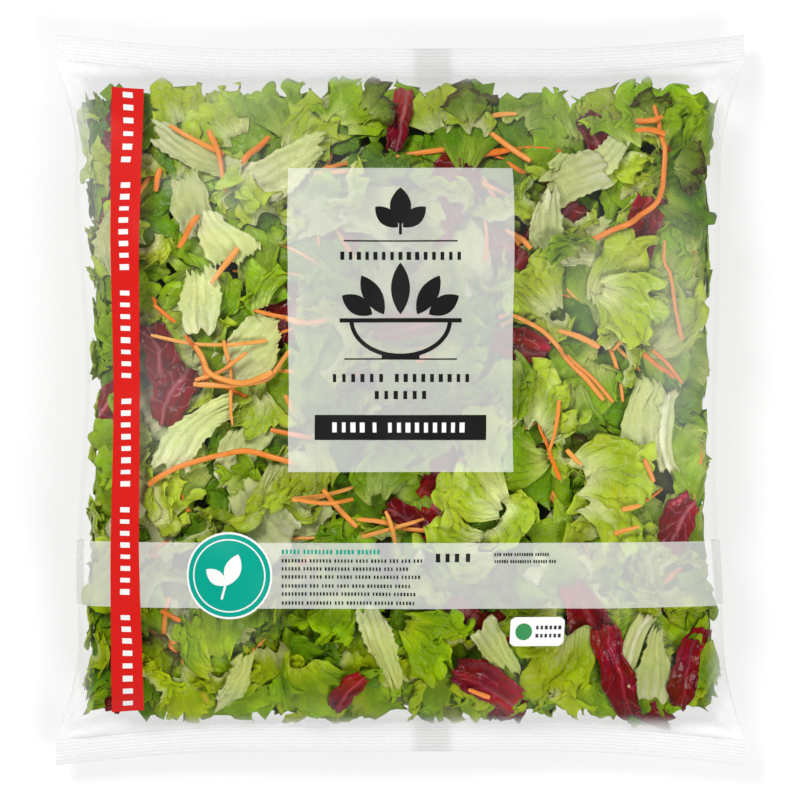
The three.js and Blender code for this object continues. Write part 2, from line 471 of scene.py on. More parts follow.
# %% Leaf tones and veins
def leaf_tones(node, outward, rib, blade, margin):
    """Pale at the base, the blade's tone over most of the leaf and the margin's at its end"""
    ripe = node("ShaderNodeMapRange", {"Value": outward, "From Max": 0.55}, **SOFT)
    tip = node("ShaderNodeMapRange", {"Value": outward, "From Min": 0.62}, **SOFT)
    body = node("ShaderNodeMix", {0: ripe, 6: linear(rib), 7: linear(blade)}, **COLOUR)
    return node("ShaderNodeMix", {0: tip, 6: body, 7: linear(margin)}, **COLOUR)


def leaf_veins(node, swayed, outward, veins, branches, vein_width):
    """How plain a vein is at each point: main ones along the leaf, side ones slanted off them"""
    places = node("ShaderNodeSeparateXYZ", {0: swayed}).node.outputs
    across = node("ShaderNodeMath", {0: places["X"], 1: veins / 2}, operation="MULTIPLY")
    from_main = node("ShaderNodeMath", {0: across, 1: 0.5}, operation="PINGPONG")
    slanted = node(
        "ShaderNodeMath", {0: from_main, 1: -0.6, 2: places["Y"]}, operation="MULTIPLY_ADD"
    )
    side_count = node("ShaderNodeMath", {0: slanted, 1: 6.0}, operation="MULTIPLY")
    from_side = node("ShaderNodeMath", {0: side_count, 1: 0.5}, operation="PINGPONG")
    fading = node("ShaderNodeMapRange", {"Value": outward, "To Min": 0.75, "To Max": 0.3})
    main_vein = node(
        "ShaderNodeMapRange",
        {"Value": from_main, "From Min": vein_width, "From Max": 0.0, "To Max": fading}, **SOFT
    )
    side_vein = node(
        "ShaderNodeMapRange",
        {"Value": from_side, "From Min": 0.10, "From Max": 0.0, "To Max": branches}, **SOFT
    )
    return node("ShaderNodeMath", {0: main_vein, 1: side_vein}, operation="MAXIMUM")


print("a Mix node's colour comes out at", COLOUR["out"])


# %% Leaf crinkle and light and shade
def leaf_crinkle(node, shifted):
    """Crinkles drawn out along the leaf"""
    drawn_out = node("ShaderNodeMapping", {"Vector": shifted, "Scale": (4.5, 3.6, 1.0)})
    return node(
        "ShaderNodeTexNoise", {"Vector": drawn_out, "Scale": 1.0, "Detail": 3.0, "Roughness": 0.5}
    )


def leaf_brightness(node, shifted, crinkle, tint, crease_shade_and_vein_tone):
    """Painted shade in the crinkles' creases and painted light on their ridges, darker along the net
    of fine veins, and unlike from leaf to leaf
    """
    net = node(
        "ShaderNodeTexVoronoi", {"Vector": shifted, "Scale": 12.6}, feature="DISTANCE_TO_EDGE"
    )
    fine_vein = node(
        "ShaderNodeMapRange",
        {"Value": net, "From Min": 0.05, "From Max": 0.0, "To Min": 1.0, "To Max": 1 - 0.5 * crease_shade_and_vein_tone},
        **SOFT,
    )
    # The crinkle noise is also the bump's height: darker where it is low is painted shade, lighter
    # where it is high is painted light
    crinkle_light_and_shade = node("ShaderNodeMapRange", {
        "Value": crinkle, "From Min": 0.3, "From Max": 0.7, "To Min": 1 - crease_shade_and_vein_tone,
        "To Max": 1 + 0.6 * crease_shade_and_vein_tone,
    })
    shaded = node("ShaderNodeMath", {0: crinkle_light_and_shade, 1: fine_vein}, operation="MULTIPLY")
    by_leaf = node("ShaderNodeMapRange", {"Value": tint, "To Min": 0.84, "To Max": 1.2})
    return node("ShaderNodeMath", {0: shaded, 1: by_leaf}, operation="MULTIPLY")


LOWER_THIRD = -70 * MM
LOWER_END = -100 * MM


def leaf_variation(node, place, brightness, shade):
    """Warmer and cooler patches, and a deeper green towards the lower end of the bag"""
    patches = node("ShaderNodeTexNoise", {"Vector": place, "Scale": per_metre(14), "Detail": 3.0})
    warmer = node("ShaderNodeMapRange", {
        "Value": patches, "From Min": 0.3, "From Max": 0.7, "To Min": 0.485, "To Max": 0.512
    })
    along_bag = node("ShaderNodeSeparateXYZ", {0: place}, "Y")
    deeper = node("ShaderNodeMapRange", {
        "Value": along_bag, "From Min": LOWER_THIRD, "From Max": LOWER_END, "To Min": 1.0,
        "To Max": 1.22,
    }, **SOFT)
    darker = node("ShaderNodeMath", {0: brightness, 1: deeper}, operation="DIVIDE")
    return node("ShaderNodeHueSaturation", {
        "Hue": warmer, "Saturation": deeper, "Value": darker, "Color": shade
    })


print("leaves are deeper green below, mm:", round(LOWER_THIRD / MM))


# %% Leaf material
def leaf_material(name, tones, vein_shade, crease_shade_and_vein_tone, through, habit):
    """tones are those of the rib, the blade, the margin and a cut. The crease value sets how dark
    the painted shade in a crease and the net of fine veins get, and through is the share of light that
    is let through"""
    rib, blade, margin, cut = tones
    made, node = new_material(name)
    uv = node("ShaderNodeUVMap", uv_map="UVMap")
    place = node("ShaderNodeTexCoord", out="Object")
    tint = node("ShaderNodeAttribute", out="Fac", attribute_name="tint")
    edge = node("ShaderNodeAttribute", out="Fac", attribute_name="edge")
    outward = node("ShaderNodeSeparateXYZ", {0: uv}, "Y")

    bent = node(
        "ShaderNodeTexNoise", {"Vector": place, "Scale": per_metre(9), "Detail": 1.0}, "Color"
    )
    swayed = node("ShaderNodeMix", {0: 0.3, 4: uv, 5: bent}, 1, data_type="VECTOR")
    vein = leaf_veins(node, swayed, outward, habit["veins"], habit["branches"], habit["vein_width"])
    toned = leaf_tones(node, outward, rib, blade, margin)
    veined = node("ShaderNodeMix", {0: vein, 6: toned, 7: linear(vein_shade)}, **COLOUR)
    own = node("ShaderNodeMath", {0: tint, 1: 9.0}, operation="MULTIPLY")
    shifted = node("ShaderNodeMapping", {"Vector": swayed, "Location": own})
    crinkle = leaf_crinkle(node, shifted)
    # brightness holds painted shade in the creases and painted light on the crinkles' ridges
    brightness = leaf_brightness(node, shifted, crinkle, tint, crease_shade_and_vein_tone)
    varied = leaf_variation(node, place, brightness, veined)
    browned = node(
        "ShaderNodeMapRange", {"Value": edge, "From Min": 0.45, "To Max": 0.7}, **SOFT
    )
    colour = node("ShaderNodeMix", {0: browned, 6: varied, 7: linear(cut)}, **COLOUR)

    blister = node(
        "ShaderNodeTexNoise",
        {"Vector": place, "Scale": per_metre(habit["blister_mm"]), "Detail": 2.0},
    )
    domed = node("ShaderNodeMath", {0: vein, 1: -0.5, 2: blister}, operation="MULTIPLY_ADD")
    height = node("ShaderNodeMath", {0: crinkle, 1: 0.8, 2: domed}, operation="MULTIPLY_ADD")
    bump = node("ShaderNodeBump", {"Height": height, "Strength": habit["relief"], "Distance": MM})
    surface = node("ShaderNodeBsdfPrincipled", {
        "Base Color": colour, "Roughness": habit["roughness"], "Normal": bump,
        "Specular IOR Level": 0.14,
    })
    glow = node("ShaderNodeBsdfTranslucent", {"Color": colour, "Normal": bump})
    both = node("ShaderNodeMixShader", {0: through, 1: surface, 2: glow})
    node("ShaderNodeOutputMaterial", {"Surface": both})
    return made


print("leaf material: one function for every kind of leaf")

# %% Leaf materials
# In each finish the crease value sets the painted shade in creases and the painted light on crinkle
# ridges
# Curly lettuce, torn and washed: soft wet shine, light glowing through, blisters between veins
CURLY = {"veins": 3, "branches": 0.4, "vein_width": 0.055, "blister_mm": 3.2, "relief": 0.85,
         "roughness": 0.26}
light_curly = leaf_material(
    "lettuce_light_curly_leaf", ("#DCE49A", "#B0C62A", "#C2D83A", "#D2DC6C"), "#D8E298",
    crease_shade_and_vein_tone=0.22, through=0.3, habit={**CURLY, "blister_mm": 3.4},
)
green_curly = leaf_material(
    "lettuce_green_curly_leaf", ("#C2D468", "#88AE0A", "#A0C61C", "#AEC63A"), "#BACE60",
    crease_shade_and_vein_tone=0.26, through=0.3, habit=CURLY,
)
dark_curly = leaf_material(
    "lettuce_dark_curly_leaf", ("#98B230", "#5C8800", "#749E08", "#82A01E"), "#8CA438",
    crease_shade_and_vein_tone=0.3, through=0.25, habit=CURLY,
)
# The same leaf with red pigment in its margin, which turns bronze over the green
bronze_curly = leaf_material(
    "lettuce_bronze_curly_leaf", ("#A2B850", "#6E8616", "#4A3A14", "#2A1E10"), "#94A248",
    crease_shade_and_vein_tone=0.28, through=0.2, habit=CURLY,
)
# Iceberg, cut: crisp and smooth, so it is shinier, and nearly white where it grew inside
crisp_pale = leaf_material(
    "iceberg_lettuce_crisp_leaf", ("#ECEEC6", "#DAE29A", "#CEDC7C", "#C8B886"), "#CAD684",
    crease_shade_and_vein_tone=0.14, through=0.3, habit={
        "veins": 6, "branches": 0.1, "vein_width": 0.3, "blister_mm": 4.0, "relief": 0.9,
        "roughness": 0.17,
    },
)
# Radicchio, cut: waxy, thick and glossy, dark red with pale veins, and hardly any light through
radicchio_red = leaf_material(
    "radicchio_glossy_leaf", ("#A21C14", "#7A0906", "#560402", "#5A1008"), "#BC747A",
    crease_shade_and_vein_tone=0.6, through=0.1, habit={
        "veins": 0.7, "branches": 0.4, "vein_width": 0.055, "blister_mm": 5.0, "relief": 0.9,
        "roughness": 0.13,
    },
)
print("leaf materials:", len([made for made in bpy.data.materials if made.name.endswith("leaf")]))

# %% [markdown]
# ## Carrot and core finish
#
# A carrot shred is cut by a blade, so it is smooth and wet along its length, with fine
# streaks where the blade crossed the root's rings. The core is never seen clearly: it is
# the dark green that shows at the bottom of the gaps between leaves, and its dark tones are
# painted shade. Both are small in the picture, so a noise that mixes two tones and gives a
# little relief is enough.

# %% Carrot and core materials
def streaked_material(name, size_mm, detail, tones, relief, finish, pale=None):
    """Two tones mixed by a noise that is relief too; pale is the tone of the palest pieces"""
    made, node = new_material(name)
    place = node("ShaderNodeTexCoord", out="Object")
    streaks = node(
        "ShaderNodeTexNoise", {"Vector": place, "Scale": per_metre(size_mm), "Detail": detail}
    )
    colour = node(
        "ShaderNodeMix", {0: streaks, 6: linear(tones[0]), 7: linear(tones[1])}, **COLOUR
    )
    if pale:
        tint = node("ShaderNodeAttribute", out="Fac", attribute_name="tint")
        paler = node("ShaderNodeMapRange", {"Value": tint, "To Max": 0.7})
        colour = node("ShaderNodeMix", {0: paler, 6: colour, 7: linear(pale)}, **COLOUR)
    strength, distance_mm = relief
    bump = node(
        "ShaderNodeBump", {"Height": streaks, "Strength": strength, "Distance": distance_mm * MM}
    )
    surface = node("ShaderNodeBsdfPrincipled", {"Base Color": colour, "Normal": bump, **finish})
    node("ShaderNodeOutputMaterial", {"Surface": surface})
    return made


# Carrot, cut by a blade: smooth, moist and streaked, from deep to pale orange
carrot_orange = streaked_material(
    "carrot_cut_shred", 2.2, 3.0, ("#D45A06", "#E8821C"), (0.4, 0.4),
    {"Roughness": 0.36, "Specular IOR Level": 0.25}, pale="#E8AC58",
)
# Lettuce packed deep in the heap: dull, with dark tones that are painted shade, so it reads as the
# depth of the heap
painted_shade_core = streaked_material(
    "packed_lettuce_core_in_painted_shade", 11, 4.0, ("#1E1A08", "#5A6E18"), (0.8, 3),
    {"Roughness": 0.6, "Specular IOR Level": 0.1},
)
print("materials so far:", len(bpy.data.materials))

# %% [markdown]
# ## Cutting the leaves
#
# A leaf starts as a flat sheet of points, a and b in its own plane and c out of it. It
# could be sculpted once and copied, but then the copies would show. Each kind has its own
# cutter instead, with a seeded rule. Curly lettuce is a fan whose margin is longer than
# its base, so the spare length stands up in ruffles that grow towards the margin. Iceberg
# is torn in pieces with soft pleats. Radicchio curls. A rib is thick in the middle.

# %% Uneven curves and fields
def ripples(rng, x, cycles, waves=3):
    """A smooth uneven curve about 1 high: a few sine waves of unlike lengths"""
    total = np.zeros_like(x)
    for n in range(waves):
        rate = cycles * (1 + 0.7 * n) * rng.uniform(0.8, 1.25)
        total = total + np.sin(x * rate + rng.uniform(0, 2 * np.pi)) / (1 + 0.7 * n)
    return total / 1.6


def rumple(rng, x, y, size, waves=5):
    """A smooth uneven field about 1 high with hills of this size"""
    total = np.zeros(np.broadcast(x, y).shape)
    for _ in range(waves):
        heading = rng.uniform(0, np.pi)
        rate = 2 * np.pi / (size * rng.uniform(0.7, 1.5))
        along = x * np.cos(heading) + y * np.sin(heading)
        total = total + np.sin(along * rate + rng.uniform(0, 2 * np.pi))
    return total / waves**0.5


def points_round(rng, u, cycles, blunt=2.2):
    """Uneven points along a margin, 0 in a bite and up to 1 at a tip; a low blunt rounds them"""
    at = cycles * (u + 0.04 * ripples(rng, u, 9))
    near = 1 - np.abs(2 * np.mod(at, 1) - 1)
    shuffled = np.sin(np.floor(at) * 12.9898 + rng.uniform(0, 9)) * 43758.5
    return near**blunt * (0.3 + 0.7 * np.mod(shuffled, 1))


print("a ripple at 0:", round(float(ripples(np.random.default_rng(1), np.zeros(1), 3)[0]), 2))


# %% What all sheets share
SHEET_PARTS = ("a", "b", "c", "thickness", "u", "v", "edge")


def sheet_of(*parts):
    """A sheet of points: place, thickness, place in the leaf's map, and how near a margin is"""
    return dict(zip(SHEET_PARTS, np.broadcast_arrays(*parts)))


def leaf_grid(columns, rows):
    """u from side to side, w from base to margin"""
    return np.linspace(-1, 1, columns)[None, :], np.linspace(0, 1, rows)[:, None]


def folded(sheet, rng, line, radius):
    """Rolls the part of a sheet beyond a line over on itself, as a leaf that is doubled up"""
    heading = rng.uniform(0, 2 * np.pi)
    across = sheet["a"] * np.cos(heading) + sheet["b"] * np.sin(heading)
    along = -sheet["a"] * np.sin(heading) + sheet["b"] * np.cos(heading)
    t = np.maximum(0, across - line)
    turn = np.minimum(t / radius, np.pi)
    past = np.maximum(0, t - np.pi * radius)
    out = np.minimum(across, line) + (radius + sheet["c"] * 0.3) * np.sin(turn) - past
    lift = radius * (1 - np.cos(turn)) + sheet["c"] * np.cos(turn)
    sheet["a"] = out * np.cos(heading) - along * np.sin(heading)
    sheet["b"] = out * np.sin(heading) + along * np.cos(heading)
    sheet["c"] = lift + 0.03 * past
    return sheet


print("parts of a sheet:", ", ".join(SHEET_PARTS))


# %% Curly lettuce
# Least and most, in millimetres, of what differs from leaf to leaf
RUFFLE_LENGTH = (6.5, 9.5)
FINE_RUFFLE_LENGTH = (3.4, 4.6)
RUFFLE_HEIGHT = (3.0, 5.0)
LOBE_WIDTH = (6.5, 11)
LOBE_DEPTH = (5.0, 9.5)
TOOTH_WIDTH = (2.6, 3.6)
TOOTH_DEPTH = 3.2
# How thick the blade is, and what the midrib adds
BLADE = 0.5
MIDRIB = 0.6


def curly_sheet(rng, length, width, fine, opening=None, base_share=None):
    """A torn fan of curly lettuce, length from base to margin and width along the margin"""
    columns = int(np.clip(2.5 * width, 54, 104)) if fine else 18
    rows = int(np.clip(0.42 * length, 9, 13)) if fine else 7
    u, w = leaf_grid(columns, rows)
    w = w**0.75
    opening = opening or np.clip(width / (1.7 * length), 0.45, 1.5)
    bowed = 1 - 0.12 * u**2 + 0.2 * ripples(rng, u, 4.5)
    reach = length * (bowed + rng.uniform(-0.3, 0.3) * u)
    base = (base_share or rng.uniform(0.15, 0.42)) * reach
    around = opening * length
    # Coarse ruffles with finer ones on them, both running a little aslant
    drift = 1.4 * ripples(rng, w, 5)
    phase = 2 * np.pi * around / rng.uniform(*RUFFLE_LENGTH) * u + 1.3 * ripples(rng, u, 5) + drift
    finer = 2 * np.pi * around / rng.uniform(*FINE_RUFFLE_LENGTH) * u
    finer = finer + 1.5 * ripples(rng, u, 7) - 2 * drift
    # The margin has lobes, and teeth on the lobes
    lobes = points_round(rng, u, around / rng.uniform(*LOBE_WIDTH), rng.uniform(0.45, 1.2))
    teeth = points_round(rng, u, around / rng.uniform(*TOOTH_WIDTH), 1.3) if fine else 0 * u
    frill = rng.uniform(*RUFFLE_HEIGHT) if fine else 2.8
    swing = frill * w**2.0
    deep = rng.uniform(*LOBE_DEPTH)
    r = base + (reach - base) * w
    r = r + (deep * (lobes - 0.5) + TOOTH_DEPTH * (teeth - 0.35)) * w**3
    angle = opening * (u + 0.09 * ripples(rng, w * 3 + u, 3) * w) + rng.uniform(-0.5, 0.5) * w**1.5
    sideways = -0.6 * swing * np.cos(phase) - 0.35 * frill * w**2.4 * np.cos(finer)
    a = r * np.sin(angle) + sideways * np.cos(angle)
    b = r * np.cos(angle) - sideways * np.sin(angle) - 0.6 * length
    # Out of its plane: the ruffles, tips that stand up, soft hills, a hollow at the base
    c = swing * np.sin(phase) + 0.45 * frill * w**2.2 * np.sin(finer)
    c = c + rng.uniform(-1.2, 3.4) * lobes * w**4 + rng.uniform(0, 2.0) * teeth * w**7
    c = c + 1.7 * rumple(rng, a, b, 19) + 0.8 * rumple(rng, a, b, 7.0)
    c = c - 1.4 * np.exp(-((u * 5) ** 2)) * (1 - w) + rng.uniform(-2, 3) * u**2
    c = c - 2.5 * (1 - w) ** 2
    thickness = BLADE - 0.22 * w + MIDRIB * np.exp(-((u * 9) ** 2)) * (1 - w) ** 1.5
    return sheet_of(a, b, c, thickness, u, w, smooth(0.93, 1, w) * 0.45)


def frill_sheet(rng, length, width, fine):
    """A narrow torn strip of curly margin, which coils up on itself"""
    opening = rng.uniform(1.0, 1.9)
    return curly_sheet(rng, length, width, fine, opening, base_share=rng.uniform(0.45, 0.62))


trial = curly_sheet(np.random.default_rng(1), 25, 30, True)
print("a curly leaf is a sheet of", trial["a"].shape, "points")


# %% Iceberg
# Distance between the points of a fine and a coarse sheet, in millimetres
CRISP_STEPS = (1.0, 3.4)
# Least and most
CRISP_WAVE_LENGTH = (6, 9)
CRISP_WAVE_HEIGHT = (1.2, 2.4)
CRISP_PLEATS = (2.5, 5.0)
# How thick it is
CRISP_BLADE = 0.6
CRISP_MIDRIB = 0.9


def crisp_sheet(rng, length, width, fine):
    """A torn piece of iceberg: a smooth bent sheet along a midrib, with an uneven wavy margin"""
    step = CRISP_STEPS[0] if fine else CRISP_STEPS[1]
    columns = int(np.clip(1.1 * width / step, 9, 36))
    rows = int(np.clip(length / step, 9, 44))
    u, w = leaf_grid(columns, rows)
    t = 2 * w - 1
    skew = rng.uniform(-0.3, 0.3, 4)
    profile = rng.uniform(0.75, 1.0) - rng.uniform(0.0, 0.35) * np.abs(t - rng.uniform(-0.5, 0.5))
    notches = points_round(rng, w, length / rng.uniform(4, 6)) if fine else 0 * w
    bays = ripples(rng, w, 5) + np.sign(u) * ripples(rng, w, 7)
    half = width / 2 * (profile * (1 + skew[0] * t) + 0.05 * bays)
    outer = np.abs(u) ** 5
    a = u * half + np.sign(u) * 1.2 * (notches - 0.4) * outer
    a = a + skew[1] * length * (w - 0.5) + rng.uniform(-0.14, 0.14) * length * t**2
    b = (w - 0.5) * length * (1 + skew[2] * u) * (1 - rng.uniform(0.0, 0.35) * u**4)
    torn = points_round(rng, u, rng.uniform(3.5, 6))
    b = b + 0.07 * length * ripples(rng, u, 5) * t
    b = b + (4.0 * (torn - 0.4) + 0.8 * ripples(rng, u, 13)) * w**6
    # Bent, with soft hills, fine pleats along it, a doubled line and a wavy margin
    bend = rng.uniform(-1, 1, 2)
    c = bend[0] * 0.14 * width * (u**2 - 0.3) + bend[1] * 0.12 * length * (t**2 - 0.3)
    c = c + 2.0 * rumple(rng, a, b, 25) + 0.5 * rumple(rng, a, b, 9)
    pleats = u + 0.12 * ripples(rng, w, 3)
    c = c + rng.uniform(0.1, 0.4) * np.sin(np.pi * rng.uniform(*CRISP_PLEATS) * pleats)
    doubled = rng.uniform(-0.5, 0.5)
    c = c + rng.uniform(0.6, 2.0) * np.exp(-np.abs(u - doubled - 0.3 * t) * 5)
    turns = 2 * np.pi * length * w / rng.uniform(*CRISP_WAVE_LENGTH)
    turns = turns + 2 * np.sign(u) + 2 * ripples(rng, w, 5)
    c = c + rng.uniform(*CRISP_WAVE_HEIGHT) * np.sin(turns) * outer
    c = c + 1.6 * np.sin(np.pi * rng.uniform(3, 5) * u + 2) * w**5
    midrib = CRISP_MIDRIB * (1 - w) * np.exp(-((7 * u) ** 2))
    thickness = CRISP_BLADE - 0.2 * w + midrib - 0.15 * outer
    rim = np.maximum(np.abs(u) ** 30, np.maximum((1 - w) ** 30, w**30))
    return sheet_of(a, b, c, thickness, u, 0.15 + 0.6 * w, rim * rng.uniform(0.1, 0.7))


print("a crisp leaf has", crisp_sheet(np.random.default_rng(1), 30, 20, True)["a"].shape, "points")


# %% Radicchio
# Distance between points in millimetres, for ribs too, and the least and most curl in radians
STIFF_STEPS = (1.3, 2.4)
RADICCHIO_CURL = (0.5, 1.4)
RADICCHIO_BLADE = 0.5
RADICCHIO_MIDRIB = 1.3


def curled_sheet(rng, length, width, fine):
    """A piece of radicchio: a smooth tongue that curls up along its sides"""
    step = STIFF_STEPS[0] if fine else STIFF_STEPS[1]
    columns = int(np.clip(1.1 * width / step, 12, 48))
    rows = int(np.clip(length / step, 12, 60))
    u, w = leaf_grid(columns, rows)
    outline = (0.5 + 0.5 * np.sin(np.pi * (0.16 + 0.72 * w))) * (1 + 0.12 * ripples(rng, w, 9))
    cut = rng.uniform(-1, 1, (rows, 1)) * 0.05
    half = width / 2 * (outline + cut)
    curl = rng.uniform(*RADICCHIO_CURL)
    turn = curl * u
    a = half * np.sin(turn) / curl * 1.05 + rng.uniform(-0.3, 0.3) * length * (w - 0.5) ** 2
    b = (w - 0.5) * length + 0.04 * length * ripples(rng, u, 6) * np.abs(2 * w - 1) ** 4
    c = half * (1 - np.cos(turn)) / curl * 0.8 + 1.6 * rumple(rng, a, b, 20)
    c = c + 1.2 * np.sin(np.pi * 2 * u + 3 * w) * w + 0.8 * rumple(rng, a, b, 8)
    thickness = RADICCHIO_BLADE + RADICCHIO_MIDRIB * np.exp(-((u * 5) ** 2)) * (1 - w) ** 1.2
    rim = np.maximum(np.abs(u) ** 16, np.maximum((1 - w) ** 14, w**18))
    return sheet_of(a, b, c, thickness, u, 0.1 + 0.8 * w, rim * 0.6)


print("radicchio has", curled_sheet(np.random.default_rng(1), 30, 16, True)["a"].shape, "points")


# %% Ribs
RIB_BLADE = 0.6
RIB_THICKNESS = 3.0
RIB_RISE = 1.7


def rib_sheet(rng, length, width, fine):
    """A thick pale rib with a strip of blade on each side"""
    step = STIFF_STEPS[0] if fine else STIFF_STEPS[1]
    columns = int(np.clip(1.2 * width / step, 14, 34))
    rows = int(np.clip(length / step / 1.3, 12, 50))
    u, w = leaf_grid(columns, rows)
    half = width / 2 * (0.8 + 0.35 * w + 0.1 * ripples(rng, w, 8))
    a = u * half + rng.uniform(-0.12, 0.12) * length * (2 * w - 1) ** 2
    b = (w - 0.5) * length + 1.2 * ripples(rng, u, 7) * np.abs(2 * w - 1) ** 6
    stout = np.exp(-((u / 0.42) ** 2)) * (1 - 0.55 * w)
    c = RIB_RISE * stout + 2.2 * np.sin(np.pi * 3.1 * w + 2 * u) * np.abs(u) ** 2
    c = c + 0.3 * np.cos(np.pi * 7 * u) * stout + 1.2 * rumple(rng, a, b, 30)
    rim = np.maximum((1 - w) ** 20, w**20)
    return sheet_of(a, b, c, RIB_BLADE + RIB_THICKNESS * stout, 0.5 * u, 0.45 * np.abs(u), rim)


CUTTERS = {
    "frill": frill_sheet,
    "packed_curly": curly_sheet,
    "light_curly": curly_sheet,
    "green_curly": curly_sheet,
    "dark_curly": curly_sheet,
    "bronze_curly": curly_sheet,
    "iceberg": crisp_sheet,
    "rib": rib_sheet,
    "radicchio": curled_sheet,
}
print("kinds of leaf:", len(CUTTERS))

# %% [markdown]
# ## Letting the leaves settle
#
# A real heap settles under its own weight and the film presses it together. A physics
# run on hundreds of thin leaves would be slow and would tear them, so a height field does
# the work. It holds how high the heap stands at each place of the skin map. Each new leaf
# comes down on a softened copy of it, never goes through what lies there, and then raises
# the field.

# %% The height field
CELL = 1.5
FIELD_ROWS = int(2 * SEAL_INNER / CELL) + 1
FIELD_COLUMNS = int(GIRTH / CELL)
AIR_GAP = 0.35
WINDOW_MARGIN = 10
field = np.zeros((FIELD_ROWS, FIELD_COLUMNS))


def spread(patch, reach, pick):
    """Each cell picks from its neighbours within reach, along both directions"""
    for axis in (0, 1):
        moved = [np.roll(patch, k, axis=axis) for k in range(-reach, reach + 1)]
        patch = pick(np.stack(moved), axis=0)
    return patch


def window(u, v):
    """Rows and columns of the field under a sheet, with a margin; columns run on past the end"""
    low = max(0, int((v.min() + SEAL_INNER) / CELL) - WINDOW_MARGIN)
    high = min(FIELD_ROWS, int((v.max() + SEAL_INNER) / CELL) + WINDOW_MARGIN + 2)
    left = int(np.floor(u.min() / CELL)) - WINDOW_MARGIN
    right = int(np.floor(u.max() / CELL)) + WINDOW_MARGIN + 2
    return np.arange(low, high), np.arange(left, right)


def settle(u, v, relief, thickness):
    """Heights of a sheet's points once it lies on the heap, which it then raises"""
    rows, columns = window(u, v)
    cells = np.ix_(rows, columns % FIELD_COLUMNS)
    patch = field[cells]
    i = np.clip(np.round((v + SEAL_INNER) / CELL).astype(int) - rows[0], 0, len(rows) - 1)
    j = np.clip(np.round(u / CELL).astype(int) - columns[0], 0, len(columns) - 1)
    soft = spread(spread(spread(patch, 2, np.max), 4, np.mean), 4, np.mean)
    height = np.maximum(soft[i, j] + relief, patch[i, j] + AIR_GAP + thickness / 2)
    mark = np.zeros_like(patch)
    np.maximum.at(mark, (i, j), height + thickness / 2)
    field[cells] = np.maximum(patch, spread(mark, 1, np.max))
    return height


print("height field:", FIELD_ROWS, "by", FIELD_COLUMNS, "cells")

# %% [markdown]
# ## Filling the bag
#
# The heap is laid in rounds. The first rounds are coarse leaves all round the tube, which
# fill the deep gaps and the underside. The last ones are fine leaves under the printed
# side: those that stand out in the photograph are laid one by one, each with its kind, its
# place in the photograph's pixels, its size in millimetres and its heading in degrees.

# %% Laying a leaf
LEAF_ENDS_AT = 139.5
SIDE_STRIP = 45
SIDE_ENDS_SOONER = 13
COARSE_GROWN = 1.5
DOUBLED_SHARE = 0.3
heap = {kind: [] for kind in CUTTERS}


def lay(rng, kind, u, v, length, width, heading, fine, fold=0.0, slope=0.0):
    """Cuts one leaf, turns it to its heading and lets it settle at u, v"""
    sheet = CUTTERS[kind](rng, length, width, fine)
    if fold:
        sheet = folded(sheet, rng, fold * min(length, width), rng.uniform(1.4, 2.4))
    turn = math.radians(heading)
    across = sheet["a"] * math.cos(turn) - sheet["b"] * math.sin(turn)
    along = sheet["a"] * math.sin(turn) + sheet["b"] * math.cos(turn)
    from_top = abs((u + GIRTH / 2) % GIRTH - GIRTH / 2)
    near_side = max(0.0, 1 - abs(from_top - GIRTH / 4) / SIDE_STRIP)
    limit = LEAF_ENDS_AT - SIDE_ENDS_SOONER * near_side + rng.uniform(-5, 2)
    v = min(v, limit - along.max()) if v > 0 else max(v, -limit - along.min())
    relief = sheet["c"] - np.percentile(sheet["c"], 20) + slope * sheet["b"]
    place = {"place_u": u + across, "place_v": v + along}
    height = settle(place["place_u"], place["place_v"], relief, sheet["thickness"])
    heap[kind].append({**sheet, **place, "height": height, "tint": rng.uniform(0, 1)})


# Least and most length, then width, in millimetres
LEAF_SIZES = {
    "frill": (14, 21, 24, 34),
    "rib": (26, 40, 7, 11),
    "radicchio": (20, 36, 12, 20),
    "iceberg": (20, 34, 16, 28),
}
CURLY_SIZES = (19, 29, 24, 36)


def scatter(rng, kinds, shares, u_range, v_range, spacing, fine):
    """Leaves on a jittered grid, in a shuffled order"""
    places = []
    for u in np.arange(*u_range, spacing):
        for v in np.arange(*v_range, spacing):
            jitter = rng.uniform(-0.45, 0.45, 2) * spacing
            places.append((u + jitter[0], v + jitter[1]))
    for n in rng.permutation(len(places)):
        kind = kinds[rng.choice(len(kinds), p=np.array(shares) / sum(shares))]
        sizes = LEAF_SIZES.get(kind, CURLY_SIZES)
        length = rng.uniform(*sizes[:2])
        width = rng.uniform(*sizes[2:])
        fold = rng.uniform(0.05, 0.3) if rng.random() < DOUBLED_SHARE else 0.0
        grown = 1 if fine else COARSE_GROWN
        heading = rng.uniform(0, 360)
        lay(rng, kind, *places[n], grown * length, grown * width, heading, fine, fold,
            rng.uniform(-0.22, 0.22))


def leaves_laid():
    return sum(len(sheets) for sheets in heap.values())


print("leaves end at, mm:", LEAF_ENDS_AT)

# %% The deep rounds
# Each round: shares of the kinds, reach round the tube, reach along the bag, spacing
DEEP_KINDS = ["packed_curly", "dark_curly", "iceberg", "radicchio", "rib"]
TUBE_SIDES = (-GIRTH // 4, GIRTH // 4)
UNDERSIDE = (158, 442)
draw = np.random.default_rng(20)
scatter(draw, DEEP_KINDS, [46, 30, 14, 4, 3], (150, 452), (-125, 130), 34, False)
scatter(draw, DEEP_KINDS, [50, 22, 18, 4, 3], UNDERSIDE, (-125, 130), 38, False)
for side in TUBE_SIDES:
    scatter(draw, DEEP_KINDS, [40, 50, 4, 2, 1], (side - 8, side + 9), (-128, 130), 17, False)
scatter(draw, DEEP_KINDS, [30, 50, 8, 8, 1], (-150, 150), (-122, 126), 31, False)
scatter(draw, DEEP_KINDS, [48, 36, 9, 6, 1], (-152, 152), (-122, 126), 32, False)
side_draw = np.random.default_rng(31)
